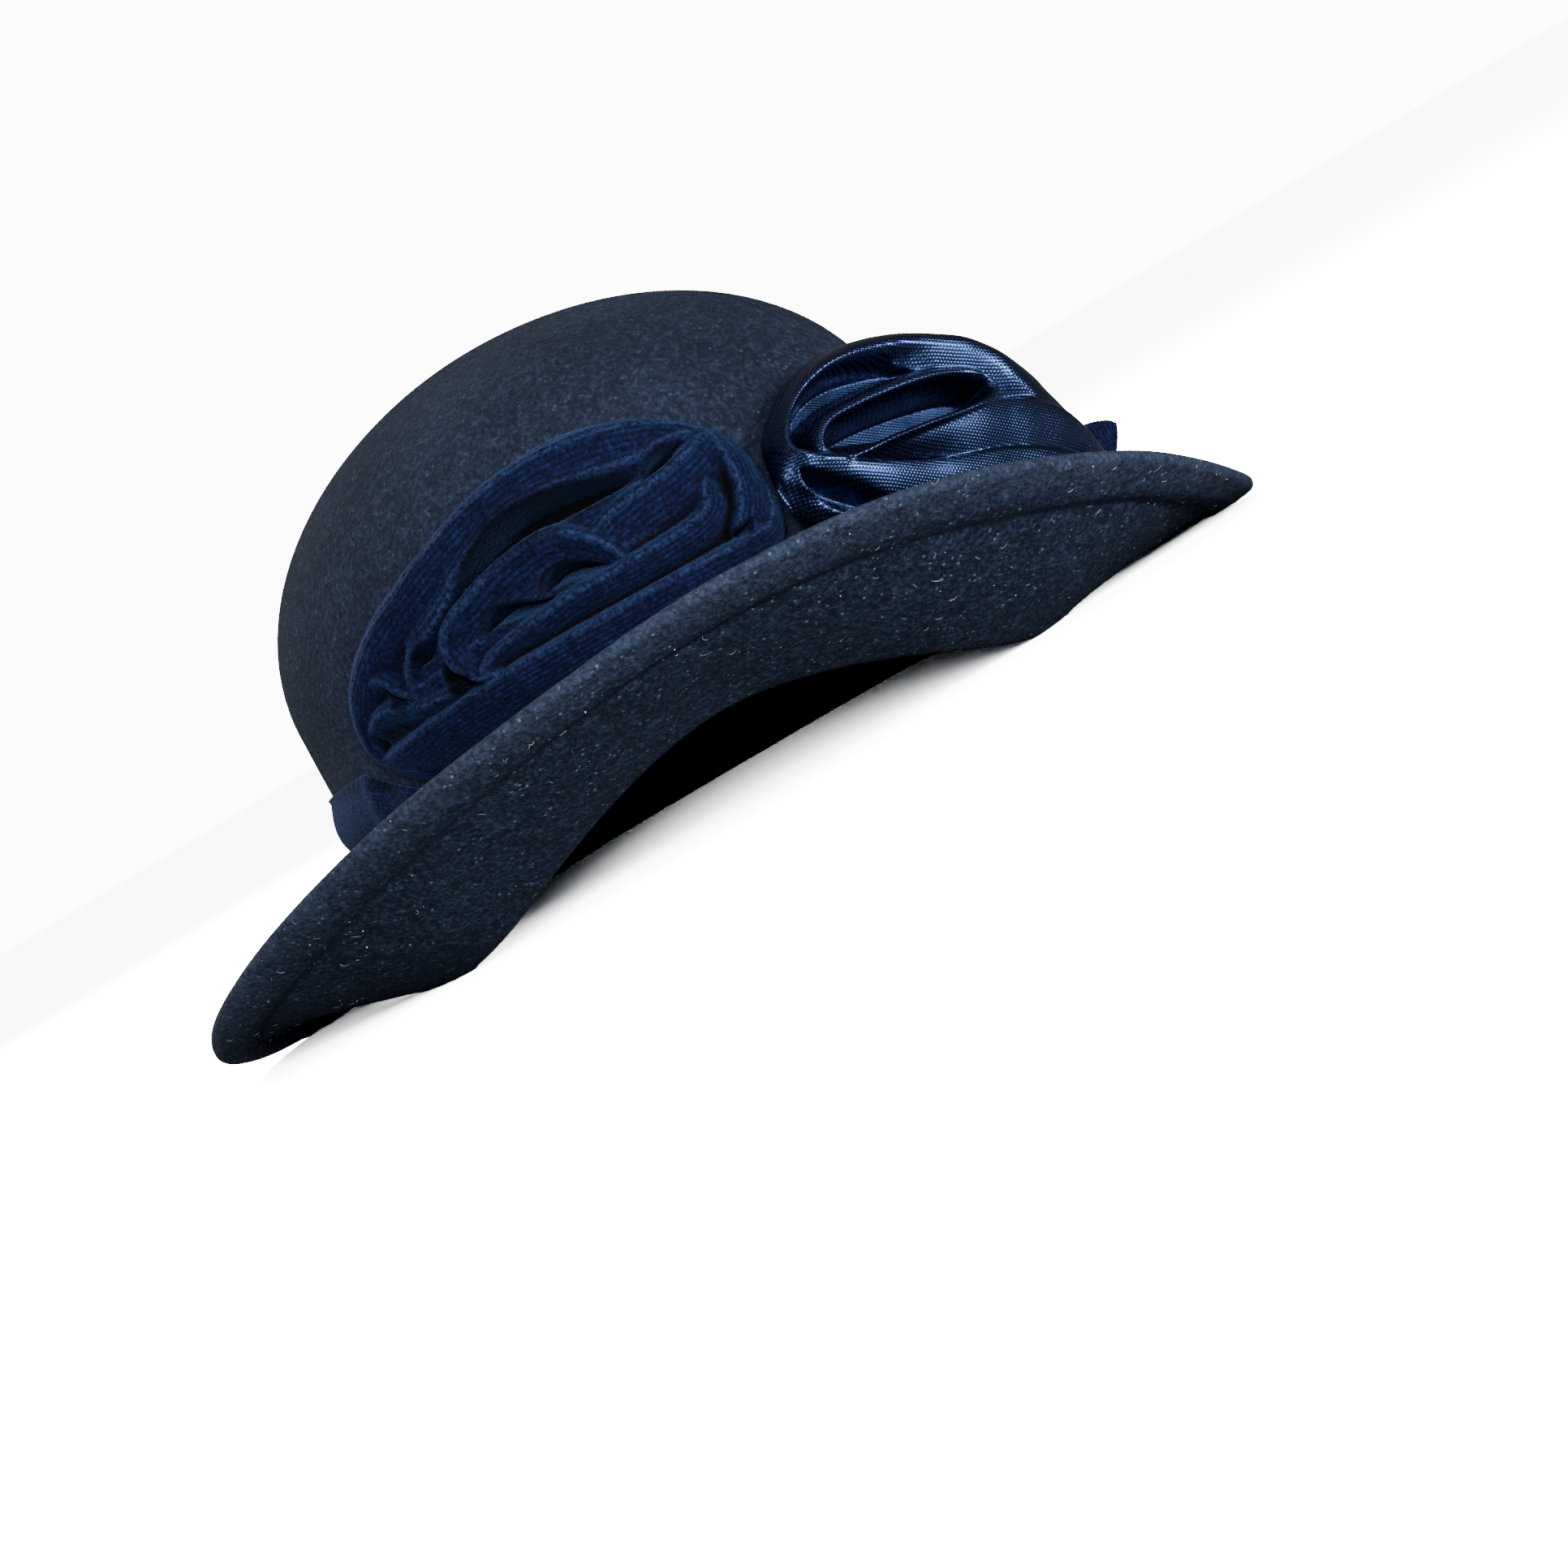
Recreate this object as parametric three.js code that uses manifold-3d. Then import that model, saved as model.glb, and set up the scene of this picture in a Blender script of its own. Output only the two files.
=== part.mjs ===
// A lady's tilt hat: a felt body with a soft asymmetric brim, a draped velvet
// band round the crown, a large flattened velvet rose on the wearer's right,
// a satin rose at the front and a velvet leaf tucked behind it.
// Millimetres, +Z up, the floor at z = 0, the wearer's face looks along -Y and
// the wearer's left is +X. An angle of 0 degrees is the front of the hat and
// angles grow towards the wearer's right.
import * as THREE from "three";
import { mergeVertices } from "three/addons/utils/BufferGeometryUtils.js";
import Module from "manifold-3d";

const wasm = await Module();
wasm.setup();

// ---------------------------------------------------------------- driving sizes
const GAP = 0.3; // between two pieces that touch
const COLUMNS = 56; // sections round the hat
const WELD = 1e-4; // corners closer than this are one corner
const KEEP_OUT_DEPTH = 20; // how far under the floor a trim is kept out of the hat

// The hem is the outer part of the brim, where the felt is turned under.
const FELT = { thickness: 2.2, hemDepth: 13, hemExtra: 1.8, hemStep: 0.02, flatBelow: 0.5 };

// The crown is measured on the middle of the felt.
const CROWN = { halfLength: 100.4, halfWidth: 83.9, wallTop: 73, domeRise: 67, taper: 0.031 };

// The crease is where the crown turns into the brim. It arches over the turned-up
// side, comes down to the floor at both ends of that arch, and rises again opposite.
const CREASE = { radius: 6, low: 0.7, archAngle: 50, archSpan: 65, archRise: 26.8, farRise: 12.8 };

// The brim edge round the hat: height of the middle of the felt over the floor,
// plan width from crown to edge, and curl, which is above 0 where the brim curves
// up towards its edge and below 0 where it levels out on the floor.
const BRIM = [
  { angle: -150, height: 3.0, width: 64.0, curl: -0.8 },
  { angle: -120, height: 3.0, width: 64.5, curl: -0.8 },
  { angle: -90, height: 3.0, width: 65.0, curl: -0.8 },
  { angle: -60, height: 3.0, width: 65.5, curl: -0.8 },
  { angle: -40, height: 3.2, width: 66.5, curl: -0.6 },
  { angle: -20, height: 10.5, width: 65.5, curl: 0.0 },
  { angle: 0, height: 31.5, width: 62.0, curl: 0.3 },
  { angle: 20, height: 48.5, width: 58.0, curl: 0.35 },
  { angle: 40, height: 55.3, width: 57.0, curl: 0.35 },
  { angle: 60, height: 52.8, width: 58.0, curl: 0.35 },
  { angle: 80, height: 46.5, width: 59.0, curl: 0.35 },
  { angle: 100, height: 36.0, width: 61.0, curl: 0.3 },
  { angle: 120, height: 24.0, width: 61.0, curl: 0.2 },
  { angle: 140, height: 13.0, width: 60.0, curl: -0.2 },
  { angle: 165, height: 4.0, width: 62.0, curl: -0.7 },
];

// Soft dents pressed into the brim by handling: place across the brim (0 at the
// crease, 1 at the edge), spread along and across it, and rise of its middle.
const DENTS = [
  { angle: 47, across: 0.25, spreadAngle: 9, spreadAcross: 0.3, rise: 1.8 },
  { angle: 74, across: 0.3, spreadAngle: 12, spreadAcross: 0.3, rise: -1.6 },
  { angle: 18, across: 0.45, spreadAngle: 11, spreadAcross: 0.3, rise: -1.4 },
  { angle: 150, across: 0.5, spreadAngle: 14, spreadAcross: 0.3, rise: 2.0 },
];

// Where a section of the felt has its rings: shares of the brim from the hem to
// the crease, of the turn of the crease, of the wall's height and of the dome.
const SECTION = {
  edgeTurns: [45, 90, 135],
  brim: [0.62, 0.46, 0.31, 0.16, 0.06],
  crease: [1, 0.66, 0.33, 0],
  wall: [0.33, 0.67],
  dome: [0, 0.16, 0.32, 0.48, 0.64, 0.8, 0.92],
};

// sway is how far the pleats wander up and down the band, in pleats, and inset is
// how far the back of the band reaches into the crown before it is cut to fit.
const BAND = {
  overCrease: 9,
  top: 52,
  topSway: 7,
  thickness: 2.6,
  inset: 1,
  pleats: 3,
  pleatDepth: 1.2,
  pleatSteps: 4,
  sway: 0.12,
  swayWaves: 3,
  edgeShare: 0.06,
  edgeRound: 0.35,
};

// Both roses are strips wound round a flattened middle. halfLength runs along the
// long side, turns counts the windings and groove is how deep the slits go between
// them, as a share of the height there.
const VELVET_ROSE = {
  angle: 62.5,
  height: 68,
  tiltDeg: 4,
  halfLength: 64,
  halfWidth: 35,
  rise: 18,
  root: 4,
  turns: 3,
  groove: 0.34,
};
const SATIN_ROSE = {
  centre: { x: 6, y: -114, z: 57 },
  faceAngle: 18,
  faceUpDeg: 12,
  tiltDeg: 33,
  halfLength: 48,
  halfWidth: 27,
  rise: 19,
  root: 46,
  rootTaper: 0.35,
  turns: 2.4,
  groove: 0.4,
};
// flatness shapes the dome of a rose, slitPower its slits, and rim is how far out
// the height is still read, so that the rose ends in a low wall.
const ROSE_MESH = { rings: 18, segments: 38, flatness: 4, slitPower: 1.5, rim: 0.985 };

const LEAF = {
  base: { x: 34, y: -99, z: 18 },
  tip: { x: 64, y: -127, z: 32 },
  halfWidth: 13,
  thickness: 6,
  steps: 8,
  section: 12,
  bellyPower: 0.8,
  fullness: 0.7,
};

const FINISH = {
  felt: { color: 0x1b2029, roughness: 0.95, metalness: 0 },
  velvet: { color: 0x16233f, roughness: 0.9, metalness: 0 },
  satin: { color: 0x10131f, roughness: 0.35, metalness: 0 },
};

// ---------------------------------------------------------------- small helpers
const rad = THREE.MathUtils.degToRad;
const range = (count, from = 0) => Array.from({ length: count }, (_, i) => i + from);

/** Angle in degrees of one column of the hat. */
const columnAngle = (column) => (360 / COLUMNS) * column - 180;

/** Signed difference of two angles, from -180 to 180. */
const turnBetween = (angle, from) => THREE.MathUtils.euclideanModulo(angle - from + 180, 360) - 180;

/** A smooth closed function of the angle through one column of the brim table. */
function roundTheBrim(key) {
  const wrapped = [-1, 0, 1].flatMap((turn) =>
    BRIM.map((row) => [row.angle + 360 * turn, row[key]]),
  );
  const curve = new THREE.CubicInterpolant(
    wrapped.map(([angle]) => angle),
    wrapped.map(([, value]) => value),
    1,
  );
  return (angle) => curve.evaluate(turnBetween(angle, 0))[0];
}
const edgeHeight = roundTheBrim("height");
const brimWidth = roundTheBrim("width");
const brimCurl = roundTheBrim("curl");

/** Six times the volume that a mesh's faces enclose, below 0 where they face inwards. */
function sixfoldVolume(positions, faces) {
  const corner = (i) => new THREE.Vector3().fromArray(positions, 3 * faces[i]);
  return range(faces.length / 3).reduce(
    (sum, f) => sum + corner(3 * f).dot(corner(3 * f + 1).cross(corner(3 * f + 2))),
    0,
  );
}

/** Joins rings of points, from pole to pole or round a loop, into a closed mesh. */
function closedMesh(rings, { loop = false } = {}) {
  const positions = [];
  const starts = rings.map((ring) => {
    const start = positions.length / 3;
    ring.forEach((p) => positions.push(p.x, p.y, p.z));
    return start;
  });
  const faces = [];
  const pairs = loop ? rings.length : rings.length - 1;
  range(pairs).forEach((r) => {
    const next = (r + 1) % rings.length;
    const a = rings[r].length;
    const b = rings[next].length;
    const count = Math.max(a, b);
    range(count).forEach((i) => {
      const j = (i + 1) % count;
      const corner = [
        starts[r] + (i % a),
        starts[r] + (j % a),
        starts[next] + (j % b),
        starts[next] + (i % b),
      ];
      if (a > 1) faces.push(corner[0], corner[1], corner[2]);
      if (b > 1) faces.push(corner[0], corner[2], corner[3]);
    });
  });
  if (sixfoldVolume(positions, faces) < 0) faces.reverse();
  const geometry = new THREE.BufferGeometry();
  geometry.setAttribute("position", new THREE.Float32BufferAttribute(positions, 3));
  geometry.setIndex(faces);
  return geometry;
}

function toSolid(geometry) {
  const merged = mergeVertices(geometry, WELD);
  return new wasm.Manifold(
    new wasm.Mesh({
      numProp: 3,
      vertProperties: new Float32Array(merged.attributes.position.array),
      triVerts: new Uint32Array(merged.index.array),
    }),
  );
}

function toGeometry(solid) {
  const { vertProperties, triVerts, numProp } = solid.getMesh();
  const geometry = new THREE.BufferGeometry();
  geometry.setAttribute("position", new THREE.Float32BufferAttribute(vertProperties, numProp));
  geometry.setIndex(Array.from(triVerts));
  return geometry;
}

/** The largest body that is left of a solid when its neighbours are cut out of it. */
function settle(geometry, neighbours) {
  const cut = neighbours.reduce((left, other) => left.subtract(other), toSolid(geometry));
  const bodies = cut.decompose().sort((a, b) => b.volume() - a.volume());
  return toGeometry(bodies[0]);
}

// ---------------------------------------------------------------- felt surface
/** Height of the crease at an angle, on the middle of the felt. */
function creaseHeight(angle) {
  const away = Math.abs(turnBetween(angle, CREASE.archAngle));
  const quarter = Math.PI / 2;
  if (away < CREASE.archSpan) {
    return CREASE.low + CREASE.archRise * Math.cos((quarter * away) / CREASE.archSpan) ** 2;
  }
  const share = (away - CREASE.archSpan) / (180 - CREASE.archSpan);
  return CREASE.low + CREASE.farRise * Math.sin(quarter * share) ** 2;
}

/** Plan point of the head opening and the outward direction there. */
function openingPoint(angle) {
  const a = rad(angle);
  const point = new THREE.Vector3(
    -CROWN.halfWidth * Math.sin(a),
    -CROWN.halfLength * Math.cos(a),
    0,
  );
  const outward = new THREE.Vector3(
    -Math.sin(a) / CROWN.halfWidth,
    -Math.cos(a) / CROWN.halfLength,
    0,
  ).normalize();
  return { point, outward };
}

/** Rise of the dents at one place on the brim. */
function dentRise(angle, across) {
  return DENTS.reduce((sum, dent) => {
    const along = turnBetween(angle, dent.angle) / dent.spreadAngle;
    const over = (across - dent.across) / dent.spreadAcross;
    return sum + dent.rise * Math.exp(-along * along - over * over);
  }, 0);
}

/** Slope of the brim where it leaves the crease, in radians. */
function brimStartSlope(angle) {
  const run = brimWidth(angle) - CREASE.radius;
  const rise = edgeHeight(angle) - creaseHeight(angle);
  return Math.atan(((1 - brimCurl(angle)) * rise) / run);
}

/** Middle of the felt on the brim; across runs from 0 at the crease to 1 at the edge. */
function brimPoint(angle, across) {
  const { point, outward } = openingPoint(angle);
  const slope = brimStartSlope(angle);
  const start = CREASE.radius * (1 + Math.sin(slope));
  const low = creaseHeight(angle) + CREASE.radius * (1 - Math.cos(slope));
  const curl = brimCurl(angle);
  const share = (1 - curl) * across + curl * across * across;
  const out = start + (brimWidth(angle) - start) * across;
  const height = low + (edgeHeight(angle) - low) * share + dentRise(angle, across);
  return point.addScaledVector(outward, out).setZ(height);
}

/** Middle of the felt on the rounded crease; turn runs from 0 at the crown to 1. */
function creasePoint(angle, turn) {
  const { point, outward } = openingPoint(angle);
  const swept = turn * (Math.PI / 2 + brimStartSlope(angle));
  const out = CREASE.radius * (1 - Math.cos(swept));
  const height = creaseHeight(angle) + CREASE.radius * (1 - Math.sin(swept));
  const dent = dentRise(angle, 0) * turn * turn;
  return point.addScaledVector(outward, out).setZ(height + dent);
}

/** Middle of the felt on the crown wall; up runs from 0 at the crease to 1. */
function wallPoint(angle, up) {
  const foot = creaseHeight(angle) + CREASE.radius;
  const height = foot + (CROWN.wallTop - foot) * up;
  const { point } = openingPoint(angle);
  return point.multiplyScalar(1 - CROWN.taper * up).setZ(height);
}

/** Middle of the felt on the dome; climb runs from 0 at its foot to 1 at the top. */
function domePoint(angle, climb) {
  const lift = (climb * Math.PI) / 2;
  const { point } = openingPoint(angle);
  return point
    .multiplyScalar((1 - CROWN.taper) * Math.cos(lift))
    .setZ(CROWN.wallTop + CROWN.domeRise * Math.sin(lift));
}

// The stations of one section, from the brim edge up to the last ring under the
// top of the dome. hem is 1 at the stations where the felt is turned under.
const hemAcross = (angle) => 1 - FELT.hemDepth / brimWidth(angle);
const single = (at) => ({ at, hem: 0 });
const hemmed = (at) => ({ at, hem: 1 });
const STATIONS = [
  hemmed((angle) => brimPoint(angle, 1)),
  hemmed((angle) => brimPoint(angle, (1 + hemAcross(angle)) / 2)),
  hemmed((angle) => brimPoint(angle, hemAcross(angle) + FELT.hemStep)),
  single((angle) => brimPoint(angle, hemAcross(angle) - FELT.hemStep)),
  ...SECTION.brim.map((share) => single((angle) => brimPoint(angle, share))),
  ...SECTION.crease.map((turn) => single((angle) => creasePoint(angle, turn))),
  ...SECTION.wall.map((up) => single((angle) => wallPoint(angle, up))),
  ...SECTION.dome.map((climb) => single((angle) => domePoint(angle, climb))),
];
const DOME_TOP = new THREE.Vector3(0, 0, CROWN.wallTop + CROWN.domeRise);

/** Unit normal of the felt, on its outer side, at a station and angle. */
function feltNormal(station, angle) {
  const step = 0.5;
  const lower = STATIONS[Math.max(station - 1, 0)].at(angle);
  const upper = STATIONS[Math.min(station + 1, STATIONS.length - 1)].at(angle);
  const along = STATIONS[station].at(angle + step).sub(STATIONS[station].at(angle - step));
  return upper.sub(lower).cross(along).normalize();
}

/** One ring of points at a station, moved off the middle of the felt. */
function feltRing(station, offset) {
  return range(COLUMNS).map((column) => {
    const angle = columnAngle(column);
    const point = STATIONS[station].at(angle);
    return point.addScaledVector(feltNormal(station, angle), offset);
  });
}

/** The rounded outer edge of the hem, a ring for each step round it. */
function edgeRings() {
  const half = (FELT.thickness + FELT.hemExtra) / 2;
  return SECTION.edgeTurns.map((around) =>
    range(COLUMNS).map((column) => {
      const angle = columnAngle(column);
      const normal = feltNormal(0, angle);
      const outward = brimPoint(angle, 1).sub(brimPoint(angle, hemAcross(angle))).normalize();
      return brimPoint(angle, 1)
        .addScaledVector(normal, -FELT.hemExtra / 2 + half * Math.cos(rad(around)))
        .addScaledVector(outward, half * Math.sin(rad(around)));
    }),
  );
}

/** Felt that rests on the floor is flattened against it. */
function flattenOnFloor(ring) {
  ring.forEach((p) => p.setZ(p.z < FELT.flatBelow ? 0 : p.z));
  return ring;
}

function feltBody() {
  const half = FELT.thickness / 2;
  const stations = range(STATIONS.length);
  const outside = stations.map((s) => feltRing(s, half));
  const inside = stations.map((s) =>
    flattenOnFloor(feltRing(s, -half - FELT.hemExtra * STATIONS[s].hem)),
  );
  return closedMesh([
    [DOME_TOP.clone().setZ(DOME_TOP.z + half)],
    ...outside.reverse(),
    ...edgeRings().map(flattenOnFloor),
    ...inside,
    [DOME_TOP.clone().setZ(DOME_TOP.z - half)],
  ]);
}

/** Everything under the upper side of the felt, grown by the gap: trims keep out of it. */
function feltKeepOut() {
  const grown = FELT.thickness / 2 + GAP;
  const outside = range(STATIONS.length).map((s) => feltRing(s, grown));
  const skirt = outside[0].map((p) => p.clone().setZ(-KEEP_OUT_DEPTH));
  return toSolid(
    closedMesh([
      [DOME_TOP.clone().setZ(DOME_TOP.z + grown)],
      ...outside.reverse(),
      skirt,
      [new THREE.Vector3(0, 0, -KEEP_OUT_DEPTH)],
    ]),
  );
}

// ---------------------------------------------------------------- crown trims
/** A point off the middle of the crown's felt, by angle, height and distance. */
function onCrown(angle, height, distance) {
  const { point, outward } = openingPoint(angle);
  if (height <= CROWN.wallTop) {
    const shrink = 1 - (CROWN.taper * height) / CROWN.wallTop;
    return point.multiplyScalar(shrink).addScaledVector(outward, distance).setZ(height);
  }
  const lift = Math.asin(Math.min((height - CROWN.wallTop) / CROWN.domeRise, 1));
  return point
    .multiplyScalar((1 - CROWN.taper) * Math.cos(lift))
    .addScaledVector(outward, distance * Math.cos(lift))
    .setZ(height + distance * Math.sin(lift));
}

/** The draped band: a ring whose outer side is gathered into pleats. */
function bandRings(grown) {
  const sectionSteps = BAND.pleatSteps * BAND.pleats;
  return range(COLUMNS).map((column) => {
    const angle = columnAngle(column);
    const low = creaseHeight(angle) + BAND.overCrease - grown;
    const top = BAND.top + BAND.topSway * Math.sin(rad(angle)) + grown;
    const sway = BAND.sway * Math.sin(rad(BAND.swayWaves * angle));
    const front = range(sectionSteps + 1).map((step) => {
      const up = step / sectionSteps;
      const pleat = Math.abs(Math.sin(Math.PI * (BAND.pleats * up + sway)));
      const inner = THREE.MathUtils.clamp(up, BAND.edgeShare, 1 - BAND.edgeShare);
      const ends = Math.sin(Math.PI * inner) ** BAND.edgeRound;
      const proud = (BAND.thickness + BAND.pleatDepth * pleat) * ends + grown;
      return onCrown(angle, low + (top - low) * up, FELT.thickness / 2 + proud);
    });
    const back = [top, low].map((height) => onCrown(angle, height, -BAND.inset));
    return [...front, ...back];
  });
}

/** How far a wound strip stands up at a place on the rose, from 0 to 1. */
function woundHeight(rose, out, around) {
  const winding = rose.turns * out - around / 360;
  const fold = Math.abs(Math.sin(Math.PI * winding));
  const dome = Math.sqrt(1 - out ** ROSE_MESH.flatness);
  return dome * (1 - rose.groove * (1 - fold) ** ROSE_MESH.slitPower);
}

/** The rings of a rose from its middle outwards, then back along its root. */
function roseRings(rose, place) {
  const { rings, segments } = ROSE_MESH;
  const ringAt = (out, raise) =>
    range(segments).map((i) => {
      const around = (360 / segments) * i;
      const u = rose.halfLength * out * Math.cos(rad(around));
      const v = rose.halfWidth * out * Math.sin(rad(around));
      return place(u, v, raise(around));
    });
  const front = range(rings, 1).map((r) => {
    const out = r / rings;
    const read = Math.min(out, ROSE_MESH.rim);
    return ringAt(out, (around) => rose.rise * woundHeight(rose, read, around));
  });
  const shrink = 1 - (rose.rootTaper ?? 0);
  const root = [
    ringAt((1 + shrink) / 2, () => -rose.root / 2),
    ringAt(shrink, () => -rose.root),
    ringAt(shrink / 2, () => -rose.root),
  ];
  return [[place(0, 0, rose.rise)], ...front, ...root, [place(0, 0, -rose.root)]];
}

/** A rose's sizes, grown all round by a distance. */
const grownRose = (rose, grown) => ({
  ...rose,
  halfLength: rose.halfLength + grown,
  halfWidth: rose.halfWidth + grown,
  rise: rose.rise + grown,
});

/** The velvet rose is laid on the crown, so its long side bends round it. */
function velvetRoseMesh(grown) {
  const rose = grownRose(VELVET_ROSE, grown);
  const radius = (CROWN.halfLength + CROWN.halfWidth) / 2;
  const tilt = rad(rose.tiltDeg);
  const place = (u, v, off) => {
    const along = u * Math.cos(tilt) - v * Math.sin(tilt);
    const up = u * Math.sin(tilt) + v * Math.cos(tilt);
    const angle = rose.angle - THREE.MathUtils.radToDeg(along / radius);
    return onCrown(angle, rose.height + up, FELT.thickness / 2 + off);
  };
  return closedMesh(roseRings(rose, place));
}

/** The satin rose stands in its own frame, leaning on crown and brim. */
function satinRoseMesh(grown) {
  const rose = grownRose(SATIN_ROSE, grown);
  const frame = new THREE.Object3D();
  frame.position.set(rose.centre.x, rose.centre.y, rose.centre.z);
  frame.rotation.set(rad(-rose.faceUpDeg), rad(rose.tiltDeg), rad(-rose.faceAngle), "ZXY");
  frame.updateMatrix();
  const place = (u, v, off) => new THREE.Vector3(u, -off, v).applyMatrix4(frame.matrix);
  return closedMesh(roseRings(rose, place));
}

/** A folded leaf: a pointed pillow from its base to its tip. */
function leafMesh() {
  const base = new THREE.Vector3(LEAF.base.x, LEAF.base.y, LEAF.base.z);
  const tip = new THREE.Vector3(LEAF.tip.x, LEAF.tip.y, LEAF.tip.z);
  const side = tip.clone().sub(base).setZ(0).normalize().cross(new THREE.Vector3(0, 0, 1));
  const rings = range(LEAF.steps - 1, 1).map((step) => {
    const along = step / LEAF.steps;
    const full = Math.sin(Math.PI * along ** LEAF.bellyPower) ** LEAF.fullness;
    return range(LEAF.section).map((i) => {
      const a = (2 * Math.PI * i) / LEAF.section;
      return base
        .clone()
        .lerp(tip, along)
        .addScaledVector(side, (LEAF.thickness / 2) * full * Math.cos(a))
        .add(new THREE.Vector3(0, 0, LEAF.halfWidth * full * Math.sin(a)));
    });
  });
  return closedMesh([[base], ...rings, [tip]]);
}

// ---------------------------------------------------------------- the hat
const hat = new THREE.Group();
const felt = feltKeepOut();
const band = settle(closedMesh(bandRings(0), { loop: true }), [felt]);
const bandKeepOut = toSolid(closedMesh(bandRings(GAP), { loop: true }));
const velvetRose = settle(velvetRoseMesh(0), [felt, bandKeepOut]);
const velvetKeepOut = toSolid(velvetRoseMesh(GAP));
const satinRose = settle(satinRoseMesh(0), [felt, bandKeepOut, velvetKeepOut]);
const satinKeepOut = toSolid(satinRoseMesh(GAP));
const leaf = settle(leafMesh(), [felt, bandKeepOut, satinKeepOut]);

const PIECES = [
  { name: "felt_body", geometry: feltBody(), finish: FINISH.felt },
  { name: "velvet_band", geometry: band, finish: FINISH.velvet },
  { name: "velvet_rose", geometry: velvetRose, finish: FINISH.velvet },
  { name: "satin_rose", geometry: satinRose, finish: FINISH.satin },
  { name: "velvet_leaf", geometry: leaf, finish: FINISH.velvet },
];
// The origin is on the floor, under the middle of the brim's plan.
const footprint = new THREE.Box3().setFromBufferAttribute(
  PIECES[0].geometry.getAttribute("position"),
);
const middle = footprint.getCenter(new THREE.Vector3());
hat.position.set(-middle.x, -middle.y, 0);
PIECES.forEach(({ name, geometry, finish }) => {
  const mesh = new THREE.Mesh(geometry, new THREE.MeshStandardMaterial(finish));
  mesh.name = name;
  hat.add(mesh);
});

export default hat;
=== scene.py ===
"""A lady's tilt hat: the looks of the felt, the draped band, both cloth roses and the leaf.

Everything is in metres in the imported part's own frame: +Z is up, the floor is z = 0, the wearer
faces -Y and the wearer's left is +X. Angles round the hat start at the front and grow towards
the wearer's right. Sizes in the classes are millimetres, and MM turns them into metres.
"""

import logging
import math
from dataclasses import dataclass
from enum import Enum
from typing import Callable, Sequence

import bmesh
import bpy
import numpy as np
from mathutils import Matrix, Vector, noise
from mathutils.bvhtree import BVHTree
from mathutils.kdtree import KDTree


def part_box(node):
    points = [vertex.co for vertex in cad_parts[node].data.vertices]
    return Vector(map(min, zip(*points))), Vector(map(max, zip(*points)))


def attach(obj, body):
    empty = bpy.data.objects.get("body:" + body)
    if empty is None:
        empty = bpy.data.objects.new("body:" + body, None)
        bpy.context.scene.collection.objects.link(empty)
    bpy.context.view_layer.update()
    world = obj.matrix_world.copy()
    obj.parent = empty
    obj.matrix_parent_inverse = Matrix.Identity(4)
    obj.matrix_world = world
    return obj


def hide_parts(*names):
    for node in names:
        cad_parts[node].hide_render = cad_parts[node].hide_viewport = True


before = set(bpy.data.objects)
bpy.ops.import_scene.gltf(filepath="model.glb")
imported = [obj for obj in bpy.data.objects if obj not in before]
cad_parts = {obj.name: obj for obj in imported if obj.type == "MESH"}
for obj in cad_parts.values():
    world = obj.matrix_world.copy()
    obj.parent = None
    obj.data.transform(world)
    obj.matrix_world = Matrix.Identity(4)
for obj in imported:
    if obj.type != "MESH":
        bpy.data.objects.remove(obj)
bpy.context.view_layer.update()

MM = 0.001
BODY = "root"
CURVE_STEPS = 24
SEARCH_BATCH = 4000
MARK_REACH = 0.2 * MM
LOG = logging.getLogger("tilt_hat")

Array = np.ndarray
Curve = Callable[[Array], Array]
Pair = tuple[float, float]
Triple = tuple[float, float, float]
Place = Triple
Colour = Triple
Piece = bpy.types.Object
Material = bpy.types.Material
Tree = bpy.types.NodeTree
Node = bpy.types.Node
Socket = bpy.types.NodeSocket


class Slot(Enum):
    """The record's material slots."""

    FELT = "felt"
    VELVET = "velvet"
    SATIN = "satin"


@dataclass(frozen=True)
class Swell:
    """A slow unevenness: its width in millimetres, where the noise is read, and its height."""

    width: float
    seed: float
    height: float


# ------------------------------------------------------------------ curves and meshes
def turn_between(angle: Array, start: float) -> Array:
    """Signed difference of two angles.

    Args:
        angle: Angles in degrees.
        start: The angle to measure from, in degrees.

    Returns:
        The differences, from -180 to 180 degrees.
    """
    return (np.asarray(angle, float) - start + 180.0) % 360.0 - 180.0


def closed_table(angles: Sequence[float], values: Sequence[float]) -> Curve:
    """A smooth closed function of the angle through a short table.

    Args:
        angles: Rising angles in degrees, within one turn.
        values: The value at each angle.

    Returns:
        A function from an array of angles to an array of values.
    """
    knots = np.concatenate([np.array(angles) + 360.0 * turn for turn in (-1, 0, 1)])
    levels = np.tile(np.array(values, float), 3)

    def value(angle: Array) -> Array:
        """Reads the table between its rows.

        Args:
            angle: Angles in degrees.

        Returns:
            The table's value at each angle.
        """
        at = turn_between(angle, 0.0)
        k = np.clip(np.searchsorted(knots, at, side="right") - 1, 1, len(knots) - 3)
        span = knots[k + 1] - knots[k]
        before = 0.5 * span / (knots[k] - knots[k - 1])
        after = 0.5 * span / (knots[k + 2] - knots[k + 1])
        p = (at - knots[k]) / span
        return (
            (-before * p**3 + 2 * before * p**2 - before * p) * levels[k - 1]
            + ((1 + before) * p**3 - (1.5 + 2 * before) * p**2 + (before - 0.5) * p + 1) * levels[k]
            + ((-1 - after) * p**3 + (1.5 + after) * p**2 + 0.5 * p) * levels[k + 1]
            + (after * p**3 - after * p**2) * levels[k + 2]
        )

    return value


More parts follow.
